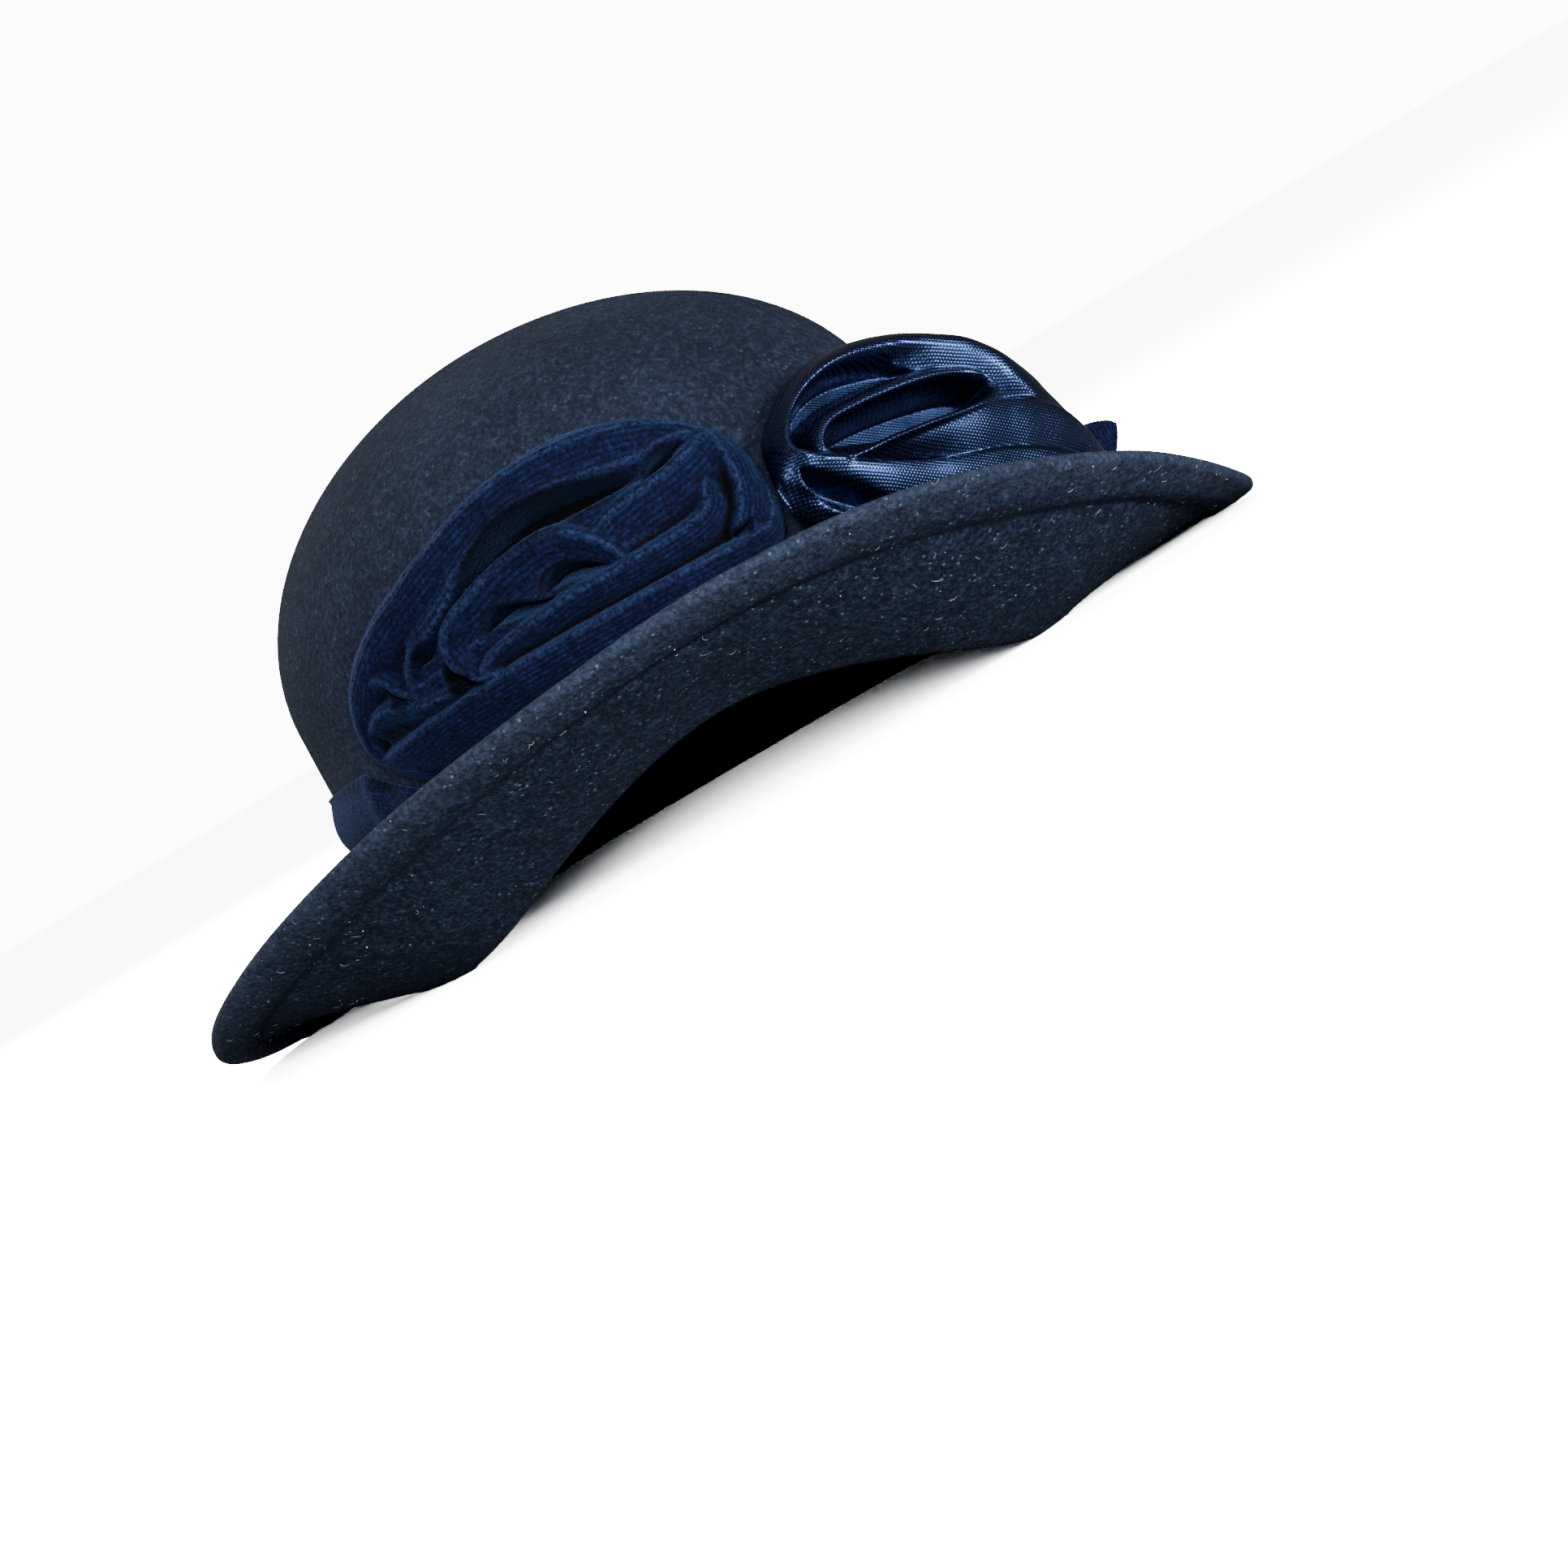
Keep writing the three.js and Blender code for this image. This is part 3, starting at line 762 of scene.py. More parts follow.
@dataclass(frozen=True)
class Relief:
    """A cloth surface made of folds that run into each other, with slits between them.

    blend is how softly folds run together and lowest the height where there is none. A flank
    falls off by drop for each reach that a point lies past flank_end of its reach, and a fold's
    end is rounded over end_reach. A row of the sway is a size, a length and a start of the ribs'
    wander. The pattern of each fold starts strip_gap after the last one's. Along the crest of the
    fold on top the cloth gets a painted highlight. A slit is never narrower than least_gap, paints
    shade into the cloth to shade_wide of its half width and shade_more, and has a lip lip_off from
    its side, which gets a painted highlight of lip_shine. Valleys are where the cloth lies
    valley_from or more under its evened height, up to valley_full further; they get painted shade
    of up to valley_share.
    """

    folds: tuple[Fold, ...]
    slits: tuple[Slit, ...]
    blend: float = 0.55
    lowest: float = 3.0
    rib_pitch: float = 1.25
    rib_height: float = 0.12
    sway: tuple[Triple, ...] = ((0.5, 7.0, 0.0), (0.3, 3.1, 1.3))
    crest_points: int = 160
    slit_points: int = 80
    end_reach: float = 4.0
    most_fall: float = 1.6
    flank_end: float = 1.2
    drop: float = 14.0
    strip_gap: float = 37.0
    crest_width: float = 0.6
    crest_end: float = 1.5
    least_gap: float = 0.15
    shade_wide: float = 1.3
    shade_more: float = 0.3
    lip_off: float = 1.0
    lip_width: float = 0.8
    lip_shine: float = 0.35
    valley_passes: int = 110
    valley_from: float = 0.25
    valley_full: float = 1.5
    valley_share: float = 0.6

    def flank(self, fold: Fold, row: Array, near: Nearest) -> Array:
        """Works out how high one fold stands at each point.

        Args:
            fold: The fold.
            row: The numbers of its crest at the place nearest to each point.
            near: Where the points lie beside the crest.

        Returns:
            Heights in millimetres.
        """
        on_left = near.left > 0
        wide = np.where(on_left, row[..., 3], row[..., 4])
        full = np.where(on_left, fold.left_full, fold.right_full) / 2
        out = np.sqrt((near.left / wide) ** 2 + (near.past / self.end_reach) ** 2)
        soft = fold.sharp**2
        fall = ((out**2 + soft) ** full - soft**full) / ((1 + soft) ** full - soft**full)
        right_foot = fold.foot if fold.right_foot is None else fold.right_foot
        foot = np.where(on_left, fold.foot, right_foot)
        rise = row[..., 2] * (1 - (1 - foot) * np.minimum(fall, self.most_fall))
        return np.where(out > self.flank_end, rise - (out - self.flank_end) * self.drop, rise)

    def cut_slits(self, u: Array, v: Array, cloth: Cloth) -> Cloth:
        """Sinks the slits into the cloth, with a lip beside each.

        Args:
            u: The points' first coordinates, in millimetres.
            v: The points' second coordinates.
            cloth: The cloth without its slits.

        Returns:
            The cloth with them, its painted crest highlight cleared beside them and laid on their lips,
            and painted shade marked in its hollows.
        """
        height, crest, hollow = cloth.height, cloth.crest, cloth.hollow
        for slit in self.slits:
            line = smooth_rows(slit.line, self.slit_points)
            near = nearest(line, u, v)
            gap = np.maximum(line[near.index, 2], self.least_gap)
            opened = np.clip(gap, 0, 1)
            away = np.hypot(near.left, near.past)
            inside = opened / (1 + (away / gap) ** slit.steep)
            height = height - slit.depth * inside * (1 - slit.pointed * np.minimum(away / gap, 1))
            shade = self.shade_wide * gap + self.shade_more
            # Painted shade: the slit's share of darkening, in it and just beside it.
            hollow = np.maximum(hollow, opened / (1 + (away / shade) ** 4))
            lip = np.exp(-(((away - gap - self.lip_off) / self.lip_width) ** 2)) * opened
            height = height + slit.lip * lip
            clear = np.clip(away / (gap + self.crest_width) - self.crest_width, 0, 1)
            # Painted highlight: the crest share is cleared beside the slit and laid on its lip.
            crest = np.maximum(crest * clear, self.lip_shine * lip)
        return Cloth(height, cloth.along, cloth.across, crest, hollow)

    def at(self, u: Array, v: Array) -> Cloth:
        """Works out the cloth at places of the plan.

        Args:
            u: The places' first coordinates, in millimetres.
            v: Their second coordinates.

        Returns:
            The cloth there.
        """
        best = np.full(u.shape, self.lowest)
        total = np.exp(best / self.blend)
        along, across, ribs, crest_highlight = u.copy(), v.copy(), np.zeros_like(u), np.zeros_like(u)
        for number, fold in enumerate(self.folds):
            crest = smooth_rows(fold.crest, self.crest_points)
            steps = np.linalg.norm(np.diff(crest[:, :2], axis=0), axis=1)
            length = np.concatenate([[0], np.cumsum(steps)])
            near = nearest(crest, u, v)
            rise = self.flank(fold, crest[near.index], near)
            total += np.exp(rise / self.blend)
            wins = rise > best
            best = np.where(wins, rise, best)
            along = np.where(wins, length[near.index] + self.strip_gap * number, along)
            across = np.where(wins, near.left, across)
            ribs = np.where(wins, fold.ribs, ribs)
            # Painted highlight: a share along the crest of the fold on top.
            off = (near.left / self.crest_width) ** 2 + (near.past / self.crest_end) ** 2
            crest_highlight = np.where(wins, np.exp(-off), crest_highlight)
        sway = sum(size * np.sin(along / length + start) for size, length, start in self.sway)
        rib = self.rib_height * ribs * np.sin(2 * np.pi * (across + sway) / self.rib_pitch)
        height = self.blend * np.log(total) + rib
        cloth = self.cut_slits(u, v, Cloth(height, along, across, crest_highlight, np.zeros_like(u)))
        # Painted shade: the cloth darkens where it lies under its evened height.
        sunk = spread(cloth.height, self.valley_passes) - cloth.height - self.valley_from
        valley_shade = self.valley_share * np.clip(sunk / self.valley_full, 0, 1)
        return Cloth(cloth.height, along, across, cloth.crest, np.maximum(cloth.hollow, valley_shade))


def spread(height: Array, times: int) -> Array:
    """Evens out heights over a rose's rings, again and again.

    Args:
        height: Rings by places of heights.
        times: How many times they are evened out.

    Returns:
        The evened heights.
    """
    for _ in range(times):
        around = height[:, :-1]
        around = (np.roll(around, 1, axis=1) + 2 * around + np.roll(around, -1, axis=1)) / 4
        height = np.concatenate([around, around[:, :1]], axis=1)
        past = np.concatenate([height[:1], height, height[-1:]])
        height = (past[:-2] + 2 * past[1:-1] + past[2:]) / 4
    return height


@dataclass(frozen=True)
class Plan:
    """A rose's plan: its edge, rows of u and v in millimetres, and how rings of places fill it."""

    edge: tuple[Pair, ...]
    middle: Pair
    rings: int
    segments: int
    crowding: float = 0.92

    def places(self) -> tuple[Array, Array, Array]:
        """Spreads rings of places over the plan.

        Returns:
            u, v and how far out each place is, each rings + 1 by segments + 1.
        """
        edge = smooth_rows(self.edge, self.segments + 1, True)
        out = np.linspace(0, 1, self.rings + 1)[:, None] ** self.crowding
        u = self.middle[0] + out * (edge[:, 0] - self.middle[0])[None]
        v = self.middle[1] + out * (edge[:, 1] - self.middle[1])[None]
        return u, v, np.broadcast_to(out, u.shape)


def close_rose(name: str, front: Array, back: list[Array], cloth: Cloth) -> Piece:
    """Closes a rose's front with its back rows and marks its crests.

    Args:
        name: The piece's name.
        front: The front's points, its centre first and its edge last.
        back: Further rows, from the edge round to the middle of the back.
        cloth: The relief that the front was made from.

    Returns:
        The rose's piece, with the attributes "crest", the share of painted highlight, and "hollow", the
        share of painted shade.
    """
    points = np.concatenate([front, np.array(back)])
    points[0] = points[0, :-1].mean(axis=0)
    points[-1] = points[-1, :-1].mean(axis=0)
    points[:, -1] = points[:, 0]
    uv = np.stack([cloth.along, cloth.across], axis=-1) * MM
    uv = np.concatenate([uv] + [uv[-1:]] * len(back))
    piece = sheet_mesh(name, points, uv)
    # The "crest" share is a painted highlight and the "hollow" share painted shade, both read by the
    # finishes.
    write_marks(piece, front, {"crest": cloth.crest, "hollow": cloth.hollow}, MARK_REACH)
    return piece


@dataclass
class Ground:
    """The pieces that a soft piece lies against, and the room that it leaves, in metres."""

    pieces: Sequence[Piece]
    clear: float = 2.3 * MM
    least: float = 0.2 * MM

    def __post_init__(self) -> None:
        """Builds a search tree for each piece."""
        self.trees = []
        for piece in self.pieces:
            bm = bmesh.new()
            bm.from_mesh(piece.data)
            self.trees.append(BVHTree.FromBMesh(bm))
            bm.free()

    def depth(self, points: Array, direction: Array, most: float) -> Array:
        """Measures how far points can go in a direction before they would touch a piece.

        Args:
            points: Rows of three coordinates, in metres.
            direction: The unit direction.
            most: The furthest that any of them goes, in metres.

        Returns:
            A distance for each point, in metres.
        """
        reach = []
        for point in points:
            start, way = Vector(point), Vector(direction)
            hits = [tree.ray_cast(start, way, most + self.clear)[3] for tree in self.trees]
            found = [hit for hit in hits if hit is not None]
            reach.append(min(found, default=most + self.clear) - self.clear)
        return np.maximum(np.array(reach), self.least)


@dataclass
class VelvetRose:
    """The large flattened rose, wound from a velvet strip and laid on the crown.

    Its middle is at an angle and a height on the crown, and its back stands lift off the felt.
    roundness is how late its front turns over into its side.
    """

    felt: FeltBody
    angle: float = 62.5
    height: float = 68.0
    tilt: float = 4.0
    lift: float = 1.0
    plan: Plan = Plan((
        (62.5, -2), (62, 6), (58.5, 13.5), (53, 20), (45, 26.5), (35, 31.5), (24, 34.5), (12, 35),
        (0, 34), (-12, 31.5), (-24, 29), (-36, 26), (-46, 22), (-56, 16.5), (-63, 10.5), (-65.5, 3),
        (-65, -5), (-61, -12), (-53, -17), (-40, -20), (-22, -22.5), (0, -24), (20, -24.5), (38, -23.5),
        (50, -21), (58, -16), (62, -10),
    ), middle=(0.0, 4.0), rings=104, segments=460)
    thinnest: float = 1.0
    roundness: int = 14
    swells: tuple[Swell, ...] = (Swell(7.0, 4.0, 0.3), Swell(2.6, 8.0, 0.1))
    back_rows: int = 7
    back_from: float = 0.86

    def place(self, u: Array, v: Array, rise: Array) -> Array:
        """Lays points of the rose on the crown, with its long side bent round it.

        Args:
            u: Places along the rose, in millimetres.
            v: Places up it.
            rise: Distances off the felt.

        Returns:
            Rows of three coordinates, in metres.
        """
        tilt = math.radians(self.tilt)
        radius = (self.felt.half_length + self.felt.half_width) / 2
        along = u * math.cos(tilt) - v * math.sin(tilt)
        up = u * math.sin(tilt) + v * math.cos(tilt)
        angle = self.angle - np.degrees(along / radius)
        return self.felt.on_crown(angle, self.height + up, self.felt.thickness / 2 + rise) * MM

    def folds(self) -> tuple[Fold, ...]:
        """Lists the rose's folds, from the strip behind it to its heart.

        Returns:
            The folds.
        """
        pad = Fold((
            (-54, 3, 8, 16, 16), (-30, 5, 12, 20, 18), (0, 6, 14, 22, 20), (26, 4, 14, 22, 20),
            (48, 0, 12, 16, 16),
        ), foot=0.4)
        behind = Fold((
            (-6, 30.5, 7, 3, 5), (5, 32, 10, 3, 5), (13, 32.6, 10.5, 3, 5), (20.5, 32.2, 10.5, 3, 5),
            (28, 31, 10.5, 3, 5), (35, 29, 10.5, 3, 5), (42.5, 25.5, 10, 3, 5), (48.5, 21.5, 9, 3, 5),
        ), ribs=0.8)
        outer = Fold((
            (55.5, 9, 12, 5, 5), (55, 13, 13.5, 6, 4.5), (50, 18.6, 14.5, 7, 4), (42, 22.8, 15.5, 8, 4),
            (33, 26, 16, 9, 4), (25, 27.8, 16, 9, 3.5), (14.5, 29.2, 16, 9, 3.5), (4, 29.4, 16, 9, 4),
            (-8, 28, 15.5, 10, 5), (-20, 25.6, 15, 11, 5), (-32, 22.6, 14, 11, 6),
            (-43, 19, 13.5, 11, 6), (-52, 14, 12.5, 10, 6), (-58.5, 7.5, 11.5, 7, 6),
            (-60.5, 0, 11.5, 5, 6), (-58.5, -7, 9.5, 5, 6), (-52, -12, 8, 5, 6),
        ), left_full=3.0, right_full=2.2, sharp=0.15, foot=0.5, ribs=1.0)
        inner_rim = Fold((
            (-30, 13, 12.5, 7, 3), (-20, 16, 14, 7, 3), (-10, 19.6, 15.5, 7, 3), (0, 22.6, 16.6, 6, 3),
            (7.5, 23.3, 16.8, 6, 3), (15.5, 22.5, 16.6, 6, 3), (23, 21, 16, 6, 3), (30, 19, 15.5, 6, 3),
            (37, 17.4, 15, 6, 3), (46, 16.8, 14.5, 5, 3), (51, 15.5, 14, 4, 3),
        ), left_full=1.6, right_full=2.2, foot=0.5, ribs=0.7)
        coil = Fold((
            (-15, -3.6, 15.5, 2.5, 4), (-19.4, -1.6, 16, 2.5, 5), (-21.9, 2.6, 16.4, 2.5, 6),
            (-22.4, 6.5, 16.8, 2.5, 7), (-20.6, 10, 17, 2.6, 8), (-16.5, 12.2, 17.4, 2.6, 8),
            (-10, 13.6, 17.8, 2.6, 8), (-4, 14.8, 18, 2.6, 8), (2, 15.6, 18, 2.6, 8),
            (8, 15.8, 18, 2.6, 8), (12.5, 14.6, 17.8, 2.6, 8), (16.2, 11.9, 17.4, 2.6, 7),
            (19.2, 8.6, 17, 2.6, 6), (21.2, 5, 16.5, 2.6, 5), (22.2, 1, 15.5, 2.6, 4),
        ), left_full=2.2, right_full=1.7, sharp=0.14, foot=0.55, ribs=1.0)
        petal = Fold((
            (15, 8.5, 13, 2.5, 9), (20, 10, 15.2, 2.5, 10), (25, 11, 16, 2.5, 11),
            (30, 11.3, 16.5, 2.5, 12), (35.5, 11.2, 16.7, 2.4, 13), (41, 11.4, 16.7, 2.4, 13),
            (47, 12.2, 16.4, 2.4, 11), (52, 13.6, 15.4, 2.4, 8),
        ), left_full=2.2, right_full=1.5, sharp=0.12, foot=0.66, ribs=0.1)
        corner = Fold((
            (54.5, 14.5, 14, 8, 3), (53.6, 10, 15.2, 8.5, 3), (52.6, 5, 15.6, 9, 3),
            (51, 0.5, 15.4, 10, 3), (48.8, -3.5, 15.2, 11, 3), (46, -6.6, 14.6, 12, 3),
        ), left_full=2.2, right_full=1.6, sharp=0.14, foot=0.55, ribs=0.1)
        middle = Fold((
            (-20, -2.2, 14.6, 2.5, 3), (-14, 0.4, 16.2, 2.5, 4), (-7, 1.4, 17.4, 2.5, 5),
            (0, 1.7, 18, 2.5, 6), (6, 2, 18.4, 2.5, 6.5), (12, 1.7, 18.6, 2.5, 7),
            (19, 0.9, 18.6, 2.5, 7.5), (28.5, 0.2, 18.2, 2.5, 8), (37, 0, 17.6, 2.5, 8),
            (42, 1.2, 17, 2.5, 7), (44.6, 4.6, 16, 2.5, 5),
        ), right_full=2.2, sharp=0.14, foot=0.6, ribs=1.0)
        low = Fold((
            (-62, -4.8, 8.5, 2.5, 7), (-52, -5, 11.5, 2.5, 10), (-43, -4.8, 13.2, 2.5, 12),
            (-34.5, -4.4, 14.4, 2.5, 13), (-24, -4.5, 15.4, 2.5, 14), (-14, -4.8, 16.2, 2.5, 14),
            (-6, -5.4, 16.6, 2.5, 14), (3, -6.2, 16.8, 2.5, 14), (10, -6.9, 16.8, 2.5, 14),
            (19, -7.8, 16.6, 2.5, 13), (29, -8.7, 16.2, 2.5, 12), (39, -10, 15.6, 2.5, 11),
            (46, -11, 15, 2.5, 10), (52, -11, 14.2, 2.5, 9), (56, -8, 13, 2.5, 6),
            (57.5, -4, 11.5, 2.5, 5),
        ), right_full=1.9, sharp=0.1, foot=0.3, ribs=0.8)
        left_low = Fold((
            (-55, 3.4, 10.5, 3, 5), (-50, 4.8, 12.2, 3, 5), (-44.5, 4.2, 13.4, 3, 5),
            (-38, 1.2, 14.2, 3, 4.5), (-32, -0.4, 14.8, 3, 4), (-26.5, -1.4, 15, 3, 3),
        ), sharp=0.14, foot=0.6, ribs=0.6)
        left_high = Fold((
            (-48, 12, 11.5, 3, 3), (-44, 11.9, 12.6, 3, 3), (-41, 9.8, 13.2, 3, 3),
            (-39, 6.4, 13.2, 3, 3), (-35.5, 3, 13, 3, 3),
        ), foot=0.7, ribs=0.4)
        loop = Fold((
            (-36, 5, 12.5, 3, 3), (-34, 8.6, 13.6, 3, 2.5), (-29, 11.6, 14.2, 4, 2.5),
            (-22, 13.6, 14.6, 4, 2.5), (-13, 17, 15, 3, 2.5),
        ), foot=0.6, ribs=0.6)
        return (pad, behind, outer, inner_rim, coil, petal, corner, middle, low, left_low, left_high, loop)

    def slits(self) -> tuple[Slit, ...]:
        """The dark gaps between the folds, the long one over the coil first."""
        return (
            Slit((
                (-13, 16.2, 0.2), (-7, 17.8, 1.2), (-2, 19, 1.9), (5, 19.8, 2.4), (12, 19.3, 2.3),
                (19.5, 17.9, 1.9), (25.5, 16.6, 1.3), (30.5, 15.6, 0.9), (34, 14.8, 0.2),
            ), depth=17),
            Slit(((34.6, 13, 0.2), (38.4, 14, 0.9), (42, 14.6, 1.0), (47, 15, 0.2)), depth=13),
            Slit((
                (2.2, 5.2, 0.2), (5.9, 6.9, 1.3), (10.2, 6.6, 1.5), (14.4, 4.9, 1.2), (18.6, 2.6, 0.2),
            ), depth=14),
            Slit((
                (-14, 5.8, 0.2), (-9, 7.3, 1.2), (-4.3, 6.2, 1.3), (0, 4.6, 0.9), (5, 3.8, 0.2),
            ), depth=13),
            Slit(((-43.4, 10, 0.2), (-42, 5.9, 0.6), (-40.2, 3.8, 0.7), (-37, 1.8, 0.2)), depth=8),
            Slit(((-32, 8.6, 0.2), (-29.5, 9.4, 1.0), (-27, 10.2, 1.1), (-24, 11.2, 0.2)), depth=12),
            Slit((
                (-25.6, 5.4, 0.3), (-25.2, 2, 1.2), (-23.6, -1, 1.8), (-21.5, -3.2, 1.1), (-19, -4, 0.2),
            ), depth=13),
            Slit(((44.2, -7.6, 0.2), (45.8, -8.8, 1.0), (47.6, -8.4, 0.8), (49, -7.4, 0.2)), depth=12),
        )

    def build(self) -> Piece:
        """Builds the rose as one closed form: the relief, a rounded side and a flat back.

        Returns:
            The rose, with the attributes that its finish reads.
        """
        u, v, out = self.plan.places()
        cloth = Relief(self.folds(), self.slits()).at(u, v)
        skirt = np.sqrt(np.clip(1 - out**self.roundness, 0, 1))
        height = np.maximum(cloth.height, self.thinnest) * skirt + self.lift
        swell = uneven(self.place(u, v, height), self.swells)
        front = self.place(u, v, height + swell * skirt)
        middle_u, middle_v = self.plan.middle
        back = []
        for share in np.linspace(self.back_from, 0, self.back_rows):
            inward_u = (u[-1] - middle_u) * share + middle_u
            inward_v = (v[-1] - middle_v) * share + middle_v
            back.append(self.place(inward_u, inward_v, self.lift))
        return close_rose("velvet_rose_folds", front, back, cloth)


@dataclass
class SatinRose:
    """The satin rose at the front: a soft strip rolled round an oval hollow.

    Its face turns by face_angle, leans by face_up and tilts. Its edge stands out by foremost
    where there is room, and its sides gather back by up to deepest: a row of the gathers is a
    share of that depth and a share of the way in. even_reach is how many places on each side
    the edge is evened over.
    """

    ground: Ground
    centre: Place = (6.9, -114.3, 57.0)
    face_angle: float = 18.0
    face_up: float = 12.0
    tilt: float = 33.0
    shift: Pair = (0.0, 0.0)
    plan: Plan = Plan((
        (49, -3), (46.5, 3), (41.5, 8), (35, 13), (25.5, 22), (14, 27), (6, 28.6), (-2, 28.2),
        (-13.6, 26.8), (-24.2, 23.6), (-31.5, 19.8), (-39.6, 13.2), (-45.6, 3.6), (-49, -5),
        (-49.6, -12), (-48.6, -19), (-45, -25), (-39, -28.8), (-29, -31), (-16, -31), (-2, -29),
        (16, -25), (30, -20), (41, -14), (47, -9),
    ), middle=(-2.0, 0.0), rings=100, segments=420)
    blend: float = 0.8
    lowest: float = 2.0
    thinnest: float = 1.0
    roundness: int = 12
    swells: tuple[Swell, ...] = (Swell(11.0, 6.0, 0.35),)
    foremost: float = 7.0
    deepest: float = 34.0
    even_reach: int = 6
    gathers: tuple[Pair, ...] = (
        (0.3, 0.04), (0.6, 0.09), (0.8, 0.16), (1, 0.24), (1, 0.4), (1, 0.6), (1, 0.8), (0.9, 0.95),
        (0.8, 1),
    )

    def frame_matrix(self) -> Matrix:
        """Works out the rose's own frame: u along its long side, v up it, out of the face at -Y.

        Returns:
            The matrix from that frame to the part's, in millimetres.
        """
        turn = Matrix.Rotation(math.radians(-self.face_angle), 4, "Z")
        up = Matrix.Rotation(math.radians(-self.face_up), 4, "X")
        tilt = Matrix.Rotation(math.radians(self.tilt), 4, "Y")
        x, y, z = self.centre
        return Matrix.Translation((x + self.shift[0], y + self.shift[1], z)) @ turn @ up @ tilt

    def place(self, u: Array, v: Array, rise: Array) -> Array:
        """Takes points of the rose's own frame to the part's.

        Args:
            u: Places along the rose, in millimetres.
            v: Places up it.
            rise: Distances out of its face.

        Returns:
            Rows of three coordinates, in metres.
        """
        matrix = np.array(self.frame_matrix())
        u, v, rise = np.broadcast_arrays(u, v, rise)
        local = np.stack([u, -rise, v], axis=-1)
        return (local @ matrix[:3, :3].T + matrix[:3, 3]) * MM

    def folds(self) -> tuple[Fold, ...]:
        """Lists the rose's folds, from the cup behind it to the oval roll in its middle.

        Returns:
            The folds.
        """
        cup = Fold((
            (-36, 0, 4, 12, 12), (-22, 6, 4.5, 12, 12), (-4, 11, 6, 12, 10), (10, 13, 9, 8, 8),
            (24, 9, 9, 8, 8),
        ), foot=0.5, sharp=0.5)
        ring = Fold((
            (6, 20.4, 13, 6, 8), (-3.5, 20.6, 13.8, 6, 8.5), (-14.6, 19.4, 14, 5.5, 8.5),
            (-24, 16.8, 14, 5, 8), (-33.2, 12.4, 14, 4, 7.5), (-40.4, 6.6, 14, 3.4, 6),
            (-44.8, 0, 14, 3, 5), (-46.8, -6.4, 14.3, 3, 4), (-46.8, -11, 14.8, 3, 3.6),
            (-44.4, -14.4, 15.2, 3, 3.4), (-40, -16, 15.2, 3, 4), (-34, -16.6, 14.8, 3, 5),
        ), left_full=2.4, sharp=0.75, foot=0.2)
        brow = Fold((
            (-12, 20.2, 13.2, 6, 5), (-4, 20.9, 14.4, 6, 8), (5, 20.8, 14.8, 6.5, 9),
            (12.6, 18.4, 14.4, 8, 8), (18.4, 13.4, 13.6, 11, 6), (24, 9, 12.2, 12, 4),
            (30, 6, 10, 10, 4), (36, 2, 7, 8, 4),
        ), left_full=1.8, right_full=1.25, sharp=0.35, foot=0.3, right_foot=0.8)
        low = Fold((
            (-44.6, -14.2, 15, 3, 5), (-38.6, -16.2, 15.2, 2.6, 6), (-30, -16.8, 15.2, 2.6, 7),
            (-18, -15.8, 15, 2.6, 7.5), (-6.3, -14, 14.6, 2.6, 7.5), (3.6, -11.6, 14, 2.8, 7.5),
            (13.7, -8.8, 13, 3, 7.5), (26.5, -7.2, 11.2, 3.2, 7), (36.8, -7.6, 9, 3.4, 6),
            (43, -8.6, 7, 4, 5),
        ), right_full=1.15, sharp=0.6, foot=0.3, right_foot=0.86)
        oval = Fold((
            (-30, -14.8, 15.4, 3, 3), (-35, -15.6, 15.2, 3, 3), (-38.8, -13.4, 15, 3, 3),
            (-39, -9.5, 15, 3.4, 3), (-36.4, -5.4, 15.2, 4.5, 3), (-30.5, -1.6, 15.4, 5.5, 3),
            (-21, 3.2, 15.6, 6, 3), (-12.6, 7, 15.8, 6, 3), (-4.3, 10, 15.8, 5, 3),
            (3.8, 11.5, 15.6, 4, 3), (8.8, 10.8, 15.4, 3.6, 3), (11, 7.8, 15.4, 3.6, 3),
            (9, 4.2, 15.8, 3.6, 3), (2.8, 0.9, 16.4, 3, 3), (-4.9, -2.6, 16.8, 3, 3),
            (-13.4, -6.4, 16.8, 3, 3), (-20.7, -10, 16.6, 3, 3), (-27.7, -13.8, 16, 3, 3),
            (-31.5, -15.4, 15.6, 3, 3),
        ), right_full=2.4, sharp=0.85, foot=0.3, right_foot=0.4)
        tongue = Fold((
            (-26, -13, 14.4, 2, 3), (-18, -9.2, 15, 2.5, 4), (-8, -4.6, 15.4, 3, 6.5),
            (0.4, -0.8, 15.6, 3, 9.5), (8, 2.6, 15.2, 3.5, 10.5), (16, 4.8, 14.4, 4, 11.5),
            (24, 5.6, 13, 4.5, 12), (32.5, 4.2, 11, 5, 11), (39.5, 1, 8.5, 5, 8), (44.5, -3, 6, 5, 6),
        ), right_full=1.1, sharp=0.5, foot=0.3, right_foot=0.8)
        loop = Fold((
            (-47.6, -11, 7.4, 2.4, 3), (-47.4, -15.4, 9.2, 2.4, 3), (-45.2, -20, 9.8, 2.4, 4),
            (-41.4, -23.8, 9.6, 2.4, 5), (-36.6, -26.4, 9.2, 2.6, 5), (-30, -28, 8.4, 3, 4),
            (-22, -29, 7, 3, 4),
        ), left_full=2.4, sharp=0.7, foot=0.3)
        return (cup, ring, brow, low, oval, tongue, loop)

    def slits(self) -> tuple[Slit, ...]:
        """The hollows in the oval and under the low fold."""
        return (
            Slit((
                (-35.5, -11.4, 1.4), (-31, -8.6, 2.8), (-22.5, -3.9, 3.5), (-13, 0.4, 3.6),
                (-4, 4.2, 3.5), (2.8, 6.8, 2.8), (7.4, 8.0, 1.1),
            ), depth=22, lip=0.0, pointed=0.62),
            Slit((
                (-44.4, -17.9, 0.3), (-42, -20.2, 1.2), (-38, -22.3, 1.9), (-32, -24, 2.1),
                (-25.5, -25.2, 1.5), (-18, -26.2, 0.3),
            ), depth=7, lip=0.0),
        )

